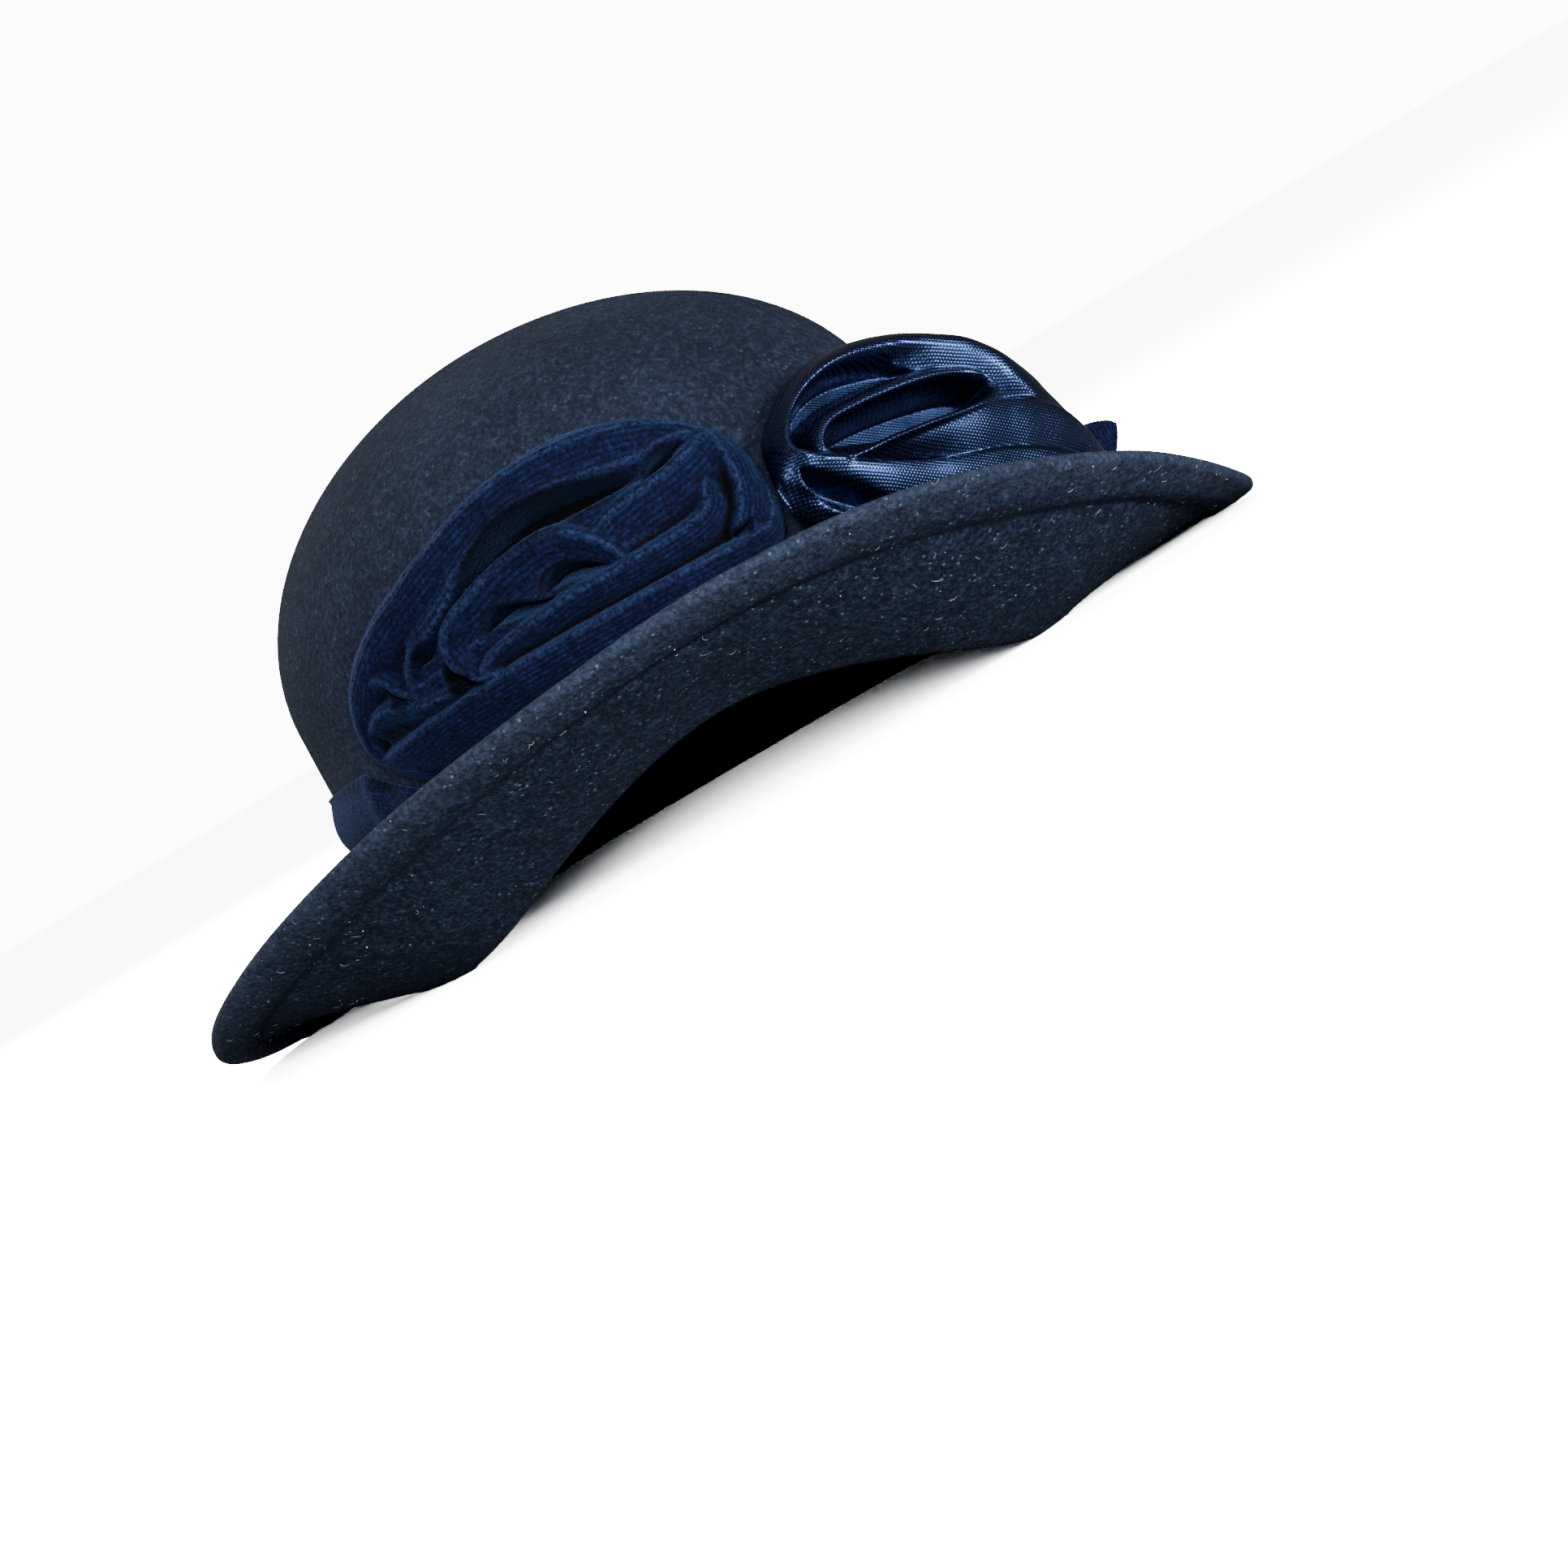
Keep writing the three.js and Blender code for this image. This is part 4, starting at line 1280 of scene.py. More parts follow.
    def build(self) -> Piece:
        """Builds the rose: the relief, and sides that gather back to the crown and brim.

        Returns:
            The rose, with the attributes that its finish reads.
        """
        u, v, out = self.plan.places()
        cloth = Relief(self.folds(), self.slits(), blend=self.blend, lowest=self.lowest).at(u, v)
        skirt = np.sqrt(np.clip(1 - out**self.roundness, 0, 1))
        backward = -(self.place(0.0, 0.0, 1.0) - self.place(0.0, 0.0, 0.0)) / MM
        height = np.maximum(cloth.height, self.thinnest) * skirt
        outermost = self.place(u[-1], v[-1], self.foremost)
        room = self.ground.depth(outermost, backward, self.foremost * MM) / MM
        height = np.maximum(height, self.foremost - self.even(room))
        swell = uneven(self.place(u, v, height), self.swells)
        front = self.place(u, v, height + swell * skirt)
        edge = front[-1]
        depth = self.even(self.ground.depth(edge, backward, self.deepest * MM))
        heart = edge[:-1].mean(axis=0)
        back = []
        for share, inset in self.gathers:
            behind = edge + (heart - edge) * inset
            reach = np.minimum(depth * share, self.ground.depth(behind, backward, self.deepest * MM))
            back.append(behind + backward * reach[:, None])
        flat = Cloth(cloth.height, u, v, cloth.crest, cloth.hollow)
        return close_rose("satin_rose_folds", front, back, flat)

    def even(self, values: Array) -> Array:
        """Evens out values round the edge without going over any of them.

        Args:
            values: A value for each place, the last one the same as the first.

        Returns:
            The evened values.
        """
        turns = range(-self.even_reach, self.even_reach + 1)
        low = np.min([np.roll(values[:-1], turn) for turn in turns], axis=0)
        mean = np.mean([np.roll(low, turn) for turn in turns], axis=0)
        return np.append(mean, mean[0])


@dataclass
class Lint:
    """Short curled hairs and small balls of fluff that have caught on the felt.

    They lie at some heights over the floor and out from the part's axis, in millimetres. Outer
    faces get outer_share of the chance that faces of the underside have. A pair is the least
    and the most of a size in millimetres, or of a share.
    """

    felt: Piece
    hairs: int = 170
    balls: int = 60
    seed: int = 11
    heights: Pair = (4.0, 66.0)
    out_from: float = 118.0
    outer_share: float = 0.16
    radius: float = 0.06
    hair_steps: int = 9
    hair_length: Pair = (0.8, 3.4)
    hair_lift: Pair = (0.05, 0.35)
    hair_curl: float = 2.6
    hair_waver: float = 0.2
    hair_taper: float = 0.6
    ball_size: Pair = (0.12, 0.30)
    ball_shape: Pair = (0.6, 1.3)
    ball_proud: float = 0.7

    def spots(self, count: int, chance: np.random.Generator) -> list[tuple[Vector, Vector]]:
        """Picks places on the felt, most of them on the brim's underside.

        Args:
            count: How many places.
            chance: The seeded source of chance.

        Returns:
            Places, each with the felt's outward direction.
        """
        mesh = self.felt.data
        under = np.zeros(len(mesh.vertices))
        mesh.attributes["underside"].data.foreach_get("value", under)
        low, high = self.heights
        level = [face for face in mesh.polygons if low * MM < face.center.z < high * MM]
        faces = [face for face in level if face.center.xy.length > self.out_from * MM]
        share = [1.0 if under[face.vertices[0]] > 0.5 else self.outer_share for face in faces]
        weight = np.array([face.area for face in faces]) * share
        picked = chance.choice(len(faces), size=count, p=weight / weight.sum())
        return [(faces[i].center.copy(), faces[i].normal.copy()) for i in picked]

    def build(self) -> Piece:
        """Builds the hairs as thin tubes and the fluff as rough little balls.

        Returns:
            All of the lint, in one piece.
        """
        chance = np.random.default_rng(self.seed)
        bm = bmesh.new()
        bm.from_mesh(self.felt.data)
        tree = BVHTree.FromBMesh(bm)
        bm.free()
        bm = bmesh.new()
        for start, normal in self.spots(self.hairs, chance):
            self.add_hair(bm, tree, start, normal, chance)
        for place, normal in self.spots(self.balls, chance):
            size = chance.uniform(*self.ball_size) * MM
            made = bmesh.ops.create_icosphere(bm, subdivisions=1, radius=size)["verts"]
            for vert in made:
                vert.co *= chance.uniform(*self.ball_shape)
                vert.co += place + normal * (size * self.ball_proud)
        return finish_mesh("felt_lint", bm)

    def add_hair(
        self,
        bm: bmesh.types.BMesh,
        tree: BVHTree,
        start: Vector,
        normal: Vector,
        chance: np.random.Generator,
    ) -> None:
        """Adds one curled hair that lies on the felt.

        Args:
            bm: The bmesh to add to.
            tree: The felt's search tree.
            start: Where the hair starts.
            normal: The felt's outward direction there.
            chance: The seeded source of chance.
        """
        heading = normal.orthogonal().normalized()
        heading.rotate(Matrix.Rotation(chance.uniform(0, 2 * math.pi), 3, normal))
        steps, radius = self.hair_steps, self.radius * MM
        length = chance.uniform(*self.hair_length) * MM
        curl = chance.uniform(-self.hair_curl, self.hair_curl) / steps
        lift = chance.uniform(*self.hair_lift) * MM
        corners = np.radians((90, 210, 330, 90))
        centre, rows = start, []
        for step in range(steps):
            where, outward, _, _ = tree.find_nearest(centre)
            high = radius + lift * math.sin(math.pi * step / (steps - 1))
            turn = curl + chance.uniform(-self.hair_waver, self.hair_waver)
            heading.rotate(Matrix.Rotation(turn, 3, outward))
            side = heading.cross(outward).normalized()
            taper = radius * (1 - self.hair_taper * abs(2 * step / (steps - 1) - 1) ** 3)
            middle = where + outward * high
            ring = [middle + (side * math.cos(a) + outward * math.sin(a)) * taper for a in corners]
            rows.append([[*corner] for corner in ring])
            centre = where + heading * (length / steps)
        add_lattice(bm, np.array(rows), np.zeros((steps, len(corners), 2)))


@dataclass(frozen=True)
class Wave:
    """A wave round the crown: its size, how many times it goes up and down, and its start."""

    size: float
    times: int
    start: float

    def at(self, angle: Array) -> Array:
        """The wave at angles in radians."""
        return self.size * np.sin(self.times * angle + self.start)


@dataclass
class VelvetBand:
    """The velvet band draped round the foot of the crown, gathered upright in places.

    Its lower edge lies over_crease above the crease and its upper edge at top, more or less
    top_sway. Under the rose the upper edge is drawn down to the heights of under_rose, a row an
    angle and a height. The drift moves the pleats up and down, as a share of their height, and
    the fullness deepens and flattens them. At a gather they flatten by a share and stand up to
    gather_rise. It keeps clear of the felt, and its edges turn in by seam.
    """

    felt: FeltBody
    columns: int = 300
    rows: int = 41
    back_rows: int = 9
    over_crease: float = 9.0
    top: float = 52.0
    top_sway: float = 7.0
    under_rose: tuple[Pair, ...] = (
        (16.0, 60.0), (23.0, 50.5), (30.0, 47.6), (38.0, 44.4), (50.0, 42.4), (62.0, 41.8),
        (76.0, 41.8), (86.0, 42.8), (92.0, 44.0), (98.0, 45.8), (105.0, 52.0), (114.0, 60.0),
    )
    thickness: float = 2.6
    clear: float = 0.6
    seam: float = 0.9
    pleats: int = 3
    pleat_depth: float = 1.9
    pleat_round: float = 0.8
    edge_round: float = 0.3
    edge_share: float = 0.03
    drift: tuple[Wave, ...] = (Wave(0.10, 3, 0.0), Wave(0.06, 7, 1.0), Wave(0.03, 13, 2.0))
    fullness: Wave = Wave(0.3, 5, 0.6)
    gathers: tuple[float, ...] = (96.0, 103.0, 111.0, -34.0, -70.0, 160.0)
    gather_width: float = 2.1
    gather_flat: float = 0.6
    gather_rise: float = 0.9
    # valley_from and valley_fade set the painted shade that darkens the velvet between the pleats.
    valley_from: float = 0.85
    valley_fade: float = 1.3
    cloth_width: float = 60.0

    def pleat(self, angle: Array, up: Array) -> Array:
        """Works out how far the pleats stand out.

        Args:
            angle: The columns' angles, in degrees.
            up: The rows' shares of the band's height.

        Returns:
            Columns by rows, from 0 in a valley to about 1 on a pleat.
        """
        a = np.radians(angle)
        drift = sum(wave.at(a) for wave in self.drift)
        phase = np.pi * (self.pleats * up[None] + drift[:, None])
        pleat = np.abs(np.sin(phase)) ** self.pleat_round * (1 + self.fullness.at(a))[:, None]
        gather = sum(np.exp(-(((angle - at) / self.gather_width) ** 2)) for at in self.gathers)[:, None]
        return pleat * (1 - self.gather_flat * gather) + self.gather_rise * gather

    def build(self) -> Piece:
        """Builds the band as a closed ring whose outer side is gathered in soft folds.

        Returns:
            The band, with the attributes that its finish reads.
        """
        angle = np.linspace(-180, 180, self.columns + 1)
        a = np.radians(angle)
        low = self.felt.crease_height(angle) + self.over_crease
        high = self.top + self.top_sway * np.sin(a)
        high = np.minimum(high, np.interp(angle, *np.array(self.under_rose).T))
        low, rise = low[:, None], (high - low)[:, None]
        up = np.linspace(0, 1, self.rows)
        pleat = self.pleat(angle, up)
        inner = np.clip(up, self.edge_share, 1 - self.edge_share)
        ends = np.sin(np.pi * inner)[None] ** self.edge_round
        clear = self.felt.thickness / 2 + self.clear
        off = (self.thickness - self.seam + self.pleat_depth * pleat) * ends + clear
        front = self.felt.on_crown(angle[:, None], low + rise * up[None], off)
        down = np.linspace(1, 0, self.back_rows)
        back = self.felt.on_crown(angle[:, None], low + rise * down[None], clear)
        points = np.concatenate([front, back, front[:, :1]], axis=1) * MM
        points[-1] = points[0]
        girth = np.tile((a * self.felt.half_length)[:, None], (1, points.shape[1]))
        along = np.tile(np.linspace(0, self.cloth_width, points.shape[1])[None], (len(angle), 1))
        piece = sheet_mesh("velvet_band_drape", points, np.stack([girth, along], axis=-1) * MM)
        # Painted shade: the velvet darkens between the pleats, where a pleat stands out least.
        valley_shade = np.clip(self.valley_from - self.valley_fade * pleat, 0, 1)
        marks = {"hollow": valley_shade, "crest": np.zeros_like(valley_shade)}
        write_marks(piece, front * MM, marks, MARK_REACH)
        return piece


@dataclass
class VelvetLeaf:
    """The folded velvet leaf whose tip shows behind the satin rose.

    Its fullness along its run is a sine with two powers: how far down its widest place lies and
    how blunt its ends are. A rib is pressed into it, rib_depth deep and rib_width wide as shares.
    """

    base: Place = (34.0, -99.0, 18.0)
    tip: Place = (63.5, -127.0, 36.0)
    half_height: float = 13.0
    inset: float = 0.98
    thickness: float = 6.0
    widest: float = 0.8
    blunt: float = 0.7
    rib_depth: float = 0.45
    rib_width: float = 0.3
    rings: int = 40
    segments: int = 48
    flat_size: Pair = (0.03, 0.045)
    shift: Pair = (0.0, 0.0)

    def build(self) -> Piece:
        """Builds the leaf as a pointed form with a folded middle rib.

        Returns:
            The leaf.
        """
        offset = np.array([self.shift[0], self.shift[1], 0.0])
        base, tip = np.array(self.base) + offset, np.array(self.tip) + offset
        run = tip - base
        side = np.cross([run[0], run[1], 0.0], [0.0, 0.0, 1.0])
        side /= np.linalg.norm(side)
        rings = []
        for along in np.linspace(0, 1, self.rings):
            full = math.sin(math.pi * along**self.widest) ** self.blunt if 0 < along < 1 else 0.0
            ring = []
            for a in np.linspace(0, 2 * math.pi, self.segments + 1):
                rib = 1 - self.rib_depth * math.exp(-((math.sin(a) / self.rib_width) ** 2))
                out = side * (self.thickness / 2 * full * math.cos(a) * rib)
                up = np.array([0, 0, self.half_height * self.inset * full * math.sin(a)])
                ring.append(base + run * along + out + up)
            rings.append(ring)
        points = np.array(rings) * MM
        points[:, -1] = points[:, 0]
        round_it = np.linspace(0, self.flat_size[0], self.segments + 1)
        along_it = np.linspace(0, self.flat_size[1], self.rings)
        uv = np.stack(np.meshgrid(round_it, along_it), axis=-1)
        return sheet_mesh("velvet_leaf_fold", points, uv)


# ------------------------------------------------------------------ finishes
@dataclass
class Painter:
    """A short hand for one node tree."""

    tree: Tree

    def node(self, kind: str, **settings: object) -> Node:
        """Adds a node.

        Args:
            kind: The node's type name.
            settings: Properties of the node, such as a group's node_tree, and then input values by
                their names with _ for spaces.

        Returns:
            The new node.
        """
        made = self.tree.nodes.new(kind)
        for name, value in settings.items():
            if hasattr(made, name):
                setattr(made, name, value)
            else:
                made.inputs[name.replace("_", " ")].default_value = value
        return made

    def link(self, source: Socket, target: Socket) -> None:
        """Links two sockets."""
        self.tree.links.new(source, target)

    def feed(self, value: object, target: Socket) -> None:
        """Gives a socket its value.

        Args:
            value: Another socket, a number or a colour without its alpha.
            target: The socket.
        """
        if isinstance(value, Socket):
            self.link(value, target)
        elif isinstance(value, tuple):
            target.default_value = (*value, 1.0)
        else:
            target.default_value = value

    def attribute(self, name: str) -> Socket:
        """A named attribute of the piece, as a value."""
        return self.node("ShaderNodeAttribute", attribute_name=name).outputs["Fac"]

    def maths(self, operation: str, first: object, second: object = 0.0, third: object = 0.0) -> Socket:
        """Adds a Math node.

        Args:
            operation: What it does.
            first: A socket or a number.
            second: Another.
            third: Another, for the operations that read three.

        Returns:
            Its output.
        """
        made = self.tree.nodes.new("ShaderNodeMath")
        made.operation = operation
        for socket, value in zip(made.inputs, (first, second, third)):
            self.feed(value, socket)
        return made.outputs[0]

    def times(self, first: object, second: object) -> Socket:
        """The product of two sockets or numbers."""
        return self.maths("MULTIPLY", first, second)

    def mix(self, factor: object, first: object, second: object, blend: str = "MIX") -> Socket:
        """Mixes two colours.

        Args:
            factor: The second colour's share, a socket or a number.
            first: A socket or a colour.
            second: Another.
            blend: How they are mixed.

        Returns:
            The mixed colour.
        """
        made = self.node("ShaderNodeMix", data_type="RGBA", blend_type=blend)
        for number, value in ((0, factor), (6, first), (7, second)):
            self.feed(value, made.inputs[number])
        return made.outputs[2]

    def ramp(self, value: Socket, low: float, high: float) -> Socket:
        """Maps a value from a range to 0..1, held at the ends.

        Args:
            value: The value.
            low: Where the range starts.
            high: Where it ends.

        Returns:
            The mapped value.
        """
        made = self.tree.nodes.new("ShaderNodeMapRange")
        made.inputs["From Min"].default_value = low
        made.inputs["From Max"].default_value = high
        self.link(value, made.inputs["Value"])
        return made.outputs["Result"]

    def noise(self, vector: Socket, scale: float, detail: float, rough: float) -> Socket:
        """Adds a noise.

        Args:
            vector: The coordinates that it is read at.
            scale: How many swells it has to a metre.
            detail: How many finer layers it has.
            rough: How strong each finer layer is.

        Returns:
            Its value.
        """
        made = self.node("ShaderNodeTexNoise", Scale=scale, Detail=detail, Roughness=rough)
        self.link(vector, made.inputs["Vector"])
        return made.outputs["Fac"]


def set_inputs(shader: Node, values: dict[str, float | Colour]) -> None:
    """Sets what is the same all over a finish on the shader's own sockets.

    Args:
        shader: The shader.
        values: Numbers, and colours without their alpha, by the sockets' names.
    """
    for name, value in values.items():
        shader.inputs[name].default_value = (*value, 1.0) if isinstance(value, tuple) else value


def new_material(name: str) -> tuple[Material, Painter, Node]:
    """Makes a node material.

    Args:
        name: Its name.

    Returns:
        The material, a painter on its tree and its Principled shader.
    """
    material = bpy.data.materials.new(name)
    material.use_nodes = True
    return material, Painter(material.node_tree), material.node_tree.nodes["Principled BSDF"]


def new_group(
    name: str, values: Sequence[str], vector: str, outputs: Sequence[str]
) -> tuple[Tree, Painter, Node, Node]:
    """Starts a shader node group that several materials share.

    Args:
        name: Its name.
        values: Names of its number inputs.
        vector: The name of its vector input.
        outputs: Names of its outputs, of which "Normal" is a vector.

    Returns:
        The group's tree, a painter on it, its input node and its output node.
    """
    tree = bpy.data.node_groups.new(name, "ShaderNodeTree")
    tree.interface.new_socket(vector, in_out="INPUT", socket_type="NodeSocketVector")
    for value in values:
        tree.interface.new_socket(value, in_out="INPUT", socket_type="NodeSocketFloat")
    for output in outputs:
        kind = "NodeSocketVector" if output == "Normal" else "NodeSocketFloat"
        tree.interface.new_socket(output, in_out="OUTPUT", socket_type=kind)
    return tree, Painter(tree), tree.nodes.new("NodeGroupInput"), tree.nodes.new("NodeGroupOutput")


def nap_group() -> Tree:
    """Builds the short fibres that stand up from a cloth: speckle, soft clumps and their bump.

    Returns:
        The group.
    """
    tree, paint, given, made = new_group(
        "fibre_nap", ("Fine", "Clump", "Height"), "Vector", ("Speckle", "Clumps", "Normal")
    )
    fine = paint.node("ShaderNodeTexNoise", Detail=3.0, Roughness=0.7)
    clump = paint.node("ShaderNodeTexNoise", Detail=3.0, Roughness=0.6)
    for texture, scale in ((fine, "Fine"), (clump, "Clump")):
        paint.link(given.outputs["Vector"], texture.inputs["Vector"])
        paint.link(given.outputs[scale], texture.inputs["Scale"])
    speckle = paint.ramp(fine.outputs["Fac"], 0.36, 0.66)
    clumps = paint.ramp(clump.outputs["Fac"], 0.34, 0.68)
    pile = paint.maths("ADD", paint.times(speckle, 0.6), paint.times(clumps, 0.4))
    bump = paint.node("ShaderNodeBump", Strength=0.8)
    paint.link(given.outputs["Height"], bump.inputs["Distance"])
    paint.link(pile, bump.inputs["Height"])
    paint.link(speckle, made.inputs["Speckle"])
    paint.link(clumps, made.inputs["Clumps"])
    paint.link(bump.outputs["Normal"], made.inputs["Normal"])
    return tree


def rows_group() -> Tree:
    """Builds rows of thread that follow the cloth's own coordinates, broken into short floats.

    Returns:
        The group.
    """
    tree, paint, given, made = new_group(
        "thread_rows", ("Row pitch", "Float pitch", "Sway"), "Cloth", ("Rows", "Floats")
    )
    split = paint.node("ShaderNodeSeparateXYZ")
    paint.link(given.outputs["Cloth"], split.inputs[0])
    wobble = paint.node("ShaderNodeTexNoise", Scale=160.0, Detail=2.0)
    paint.link(given.outputs["Cloth"], wobble.inputs["Vector"])
    swing = paint.maths("SUBTRACT", wobble.outputs["Fac"], 0.5)
    swing = paint.times(swing, given.outputs["Sway"])
    row = paint.maths("DIVIDE", split.outputs["Y"], given.outputs["Row pitch"])
    row = paint.maths("ADD", row, swing)
    along = paint.maths("DIVIDE", split.outputs["X"], given.outputs["Float pitch"])
    along = paint.maths("ADD", along, paint.times(paint.maths("FLOOR", row), 0.5))
    for name, place in (("Rows", row), ("Floats", along)):
        wave = paint.maths("SINE", paint.times(place, 2 * math.pi))
        paint.link(paint.maths("MULTIPLY_ADD", wave, 0.5, third=0.5), made.inputs[name])
    return tree


@dataclass(frozen=True)
class SharedEffects:
    """The node groups that more than one finish uses."""

    nap: Tree
    rows: Tree


@dataclass(frozen=True)
class FeltFinish:
    """Napped wool felt: mottled fibres, a painted highlight on the brim's rounded edge and stray lint.

    Scales are swells to a metre, and a pair is where a mask starts and where it is full.
    """

    crown: Colour = (0.0078, 0.0108, 0.0205)
    crown_pale: Colour = (0.028, 0.040, 0.076)
    under: Colour = (0.0034, 0.0056, 0.0130)
    under_pale: Colour = (0.034, 0.053, 0.108)
    # painted highlight colour of the brim's rounded edge
    edge: Colour = (0.042, 0.056, 0.096)
    fleck: Colour = (0.16, 0.20, 0.27)
    shade: tuple[Colour, Colour] = ((0.8, 0.8, 0.8), (1.2, 1.2, 1.2))
    fibre_scale: float = 700.0
    clump_scale: float = 240.0
    nap_height: float = 0.0007
    contrast: float = 2.2
    cloud_scale: float = 24.0
    cloud_span: Pair = (0.35, 0.7)
    stitch: float = 0.6
    fleck_scale: float = 520.0
    fleck_span: Pair = (0.30, 0.14)
    patch_scale: float = 310.0
    patch_span: Pair = (0.54, 0.60)

    def material(self, shared: SharedEffects) -> Material:
        """Builds the felt's material.

        Args:
            shared: The shared node groups.

        Returns:
            The material.
        """
        material, paint, shader = new_material("wool_felt")
        place = paint.node("ShaderNodeTexCoord").outputs["Object"]
        nap = paint.node(
            "ShaderNodeGroup",
            node_tree=shared.nap,
            Fine=self.fibre_scale,
            Clump=self.clump_scale,
            Height=self.nap_height,
        )
        paint.link(place, nap.inputs["Vector"])
        fine = paint.times(nap.outputs["Speckle"], 0.7)
        fibres = paint.maths("ADD", fine, paint.times(nap.outputs["Clumps"], 0.3))
        under = paint.attribute("underside")
        base = self.mottled(paint, place, fibres, under)
        # Painted highlight: the felt pales towards the rounded edge, speckled by its fibres.
        edge_highlight = paint.maths("MULTIPLY_ADD", fibres, 0.6, third=0.1)
        edge_highlight = paint.times(paint.attribute("edge"), edge_highlight)
        with_edge = paint.mix(edge_highlight, base, self.edge)
        with_hem = paint.mix(paint.times(paint.attribute("hem"), self.stitch), with_edge, self.under)
        dots = self.flecks(paint, place, under)
        paint.link(paint.mix(dots, with_hem, self.fleck), shader.inputs["Base Color"])
        set_inputs(shader, {
            "Roughness": 0.95,
            "Specular IOR Level": 0.05,
            "Sheen Weight": 0.03,
            "Sheen Roughness": 0.5,
            "Sheen Tint": (0.45, 0.55, 0.75),
        })
        paint.link(nap.outputs["Normal"], shader.inputs["Normal"])
        return material

    def mottled(self, paint: Painter, place: Socket, fibres: Socket, under: Socket) -> Socket:
        """Colours the fibres, darker under the brim, with slow clouds.

        Args:
            paint: The painter on the material's tree.
            place: The coordinates.
            fibres: How pale the fibres are.
            under: The share of the underside.

        Returns:
            The colour.
        """
        pale = paint.maths("POWER", fibres, self.contrast)
        top = paint.mix(pale, self.crown, self.crown_pale)
        low = paint.mix(pale, self.under, self.under_pale)
        cloud = paint.ramp(paint.noise(place, self.cloud_scale, 3, 0.55), *self.cloud_span)
        return paint.mix(1.0, paint.mix(under, top, low), paint.mix(cloud, *self.shade), "MULTIPLY")

    def flecks(self, paint: Painter, place: Socket, under: Socket) -> Socket:
        """Masks sparse pale dots, more of them under the brim.

        Args:
            paint: The painter on the material's tree.
            place: The coordinates.
            under: The share of the underside.

        Returns:
            The mask.
        """
        dust = paint.node("ShaderNodeTexVoronoi", feature="F1", Scale=self.fleck_scale)
        paint.link(place, dust.inputs["Vector"])
        sparse = paint.ramp(paint.noise(place, self.patch_scale, 2, 0.6), *self.patch_span)
        dots = paint.times(paint.ramp(dust.outputs["Distance"], *self.fleck_span), sparse)
        return paint.times(dots, paint.maths("MULTIPLY_ADD", under, 0.45, third=0.2))


@dataclass(frozen=True)
class LintFinish:
    """Pale stray fibre."""

    dark: Colour = (0.10, 0.13, 0.18)
    pale: Colour = (0.42, 0.47, 0.54)
    tone_scale: float = 90.0
    tone_span: Pair = (0.4, 0.65)

    def material(self) -> Material:
        """Builds the lint's material.

        Returns:
            The material.
        """
        material, paint, shader = new_material("stray_fibre")
        place = paint.node("ShaderNodeTexCoord").outputs["Object"]
        tone = paint.ramp(paint.noise(place, self.tone_scale, 2, 0.6), *self.tone_span)
        paint.link(paint.mix(tone, self.dark, self.pale), shader.inputs["Base Color"])
        set_inputs(shader, {"Roughness": 0.7})
        return material


@dataclass(frozen=True)
class VelvetFinish:
    """Deep pile velvet, paler along the crest of each fold and near black in its hollows.

    The paler crest of each fold is partly the pile opened and rubbed there and partly a painted
    highlight; the dark hollows are painted shade. Scales are swells to a metre, pitches are in
    metres, and the hollow's span is where its painted shade starts and where it is full.
    """

    deep: Colour = (0.0008, 0.0016, 0.0090)
    pile: Colour = (0.0105, 0.0190, 0.095)
    # painted highlight colour on fold crests, partly the opened pile
    pile_highlight: Colour = (0.040, 0.074, 0.190)
    # painted shade colour in the hollows
    hollow: Colour = (0.0002, 0.0003, 0.0012)
    fibre_scale: float = 900.0
    clump_scale: float = 330.0
    nap_height: float = 0.0004
    rib_pitch: float = 0.00125
    float_pitch: float = 0.0060
    rib_sway: float = 0.5
    contrast: float = 1.8
    highlight_share: float = 0.36
    hollow_span: Pair = (0.02, 0.6)

    def material(self, shared: SharedEffects) -> Material:
        """Builds the velvet's material.

        Args:
            shared: The shared node groups.

        Returns:
            The material.
        """
        material, paint, shader = new_material("velvet")
        coords = paint.node("ShaderNodeTexCoord")
        nap = paint.node(
            "ShaderNodeGroup",
            node_tree=shared.nap,
            Fine=self.fibre_scale,
            Clump=self.clump_scale,
            Height=self.nap_height,
        )
        paint.link(coords.outputs["Object"], nap.inputs["Vector"])
        rows = paint.node(
            "ShaderNodeGroup",
            node_tree=shared.rows,
            Row_pitch=self.rib_pitch,
            Float_pitch=self.float_pitch,
            Sway=self.rib_sway,
        )
        paint.link(coords.outputs["UV"], rows.inputs["Cloth"])
        rib = paint.times(rows.outputs["Rows"], nap.outputs["Clumps"])
        tone = paint.times(paint.maths("ADD", nap.outputs["Speckle"], rib), 0.5)
        body = paint.mix(paint.maths("POWER", tone, self.contrast), self.deep, self.pile)
        speckle = paint.times(nap.outputs["Speckle"], self.highlight_share)
        # Painted highlight along fold crests, partly the opened pile.
        opened = paint.mix(paint.times(paint.attribute("crest"), speckle), body, self.pile_highlight)
        # Painted shade: near black in the slits, between pleats and in other hollows.
        dark = paint.ramp(paint.attribute("hollow"), *self.hollow_span)
        paint.link(paint.mix(dark, opened, self.hollow), shader.inputs["Base Color"])
        set_inputs(shader, {
            "Roughness": 0.9,
            "Specular IOR Level": 0.08,
            "Sheen Weight": 0.12,
            "Sheen Roughness": 0.32,
            "Sheen Tint": (0.16, 0.34, 0.9),
        })
        paint.link(nap.outputs["Normal"], shader.inputs["Normal"])
        return material


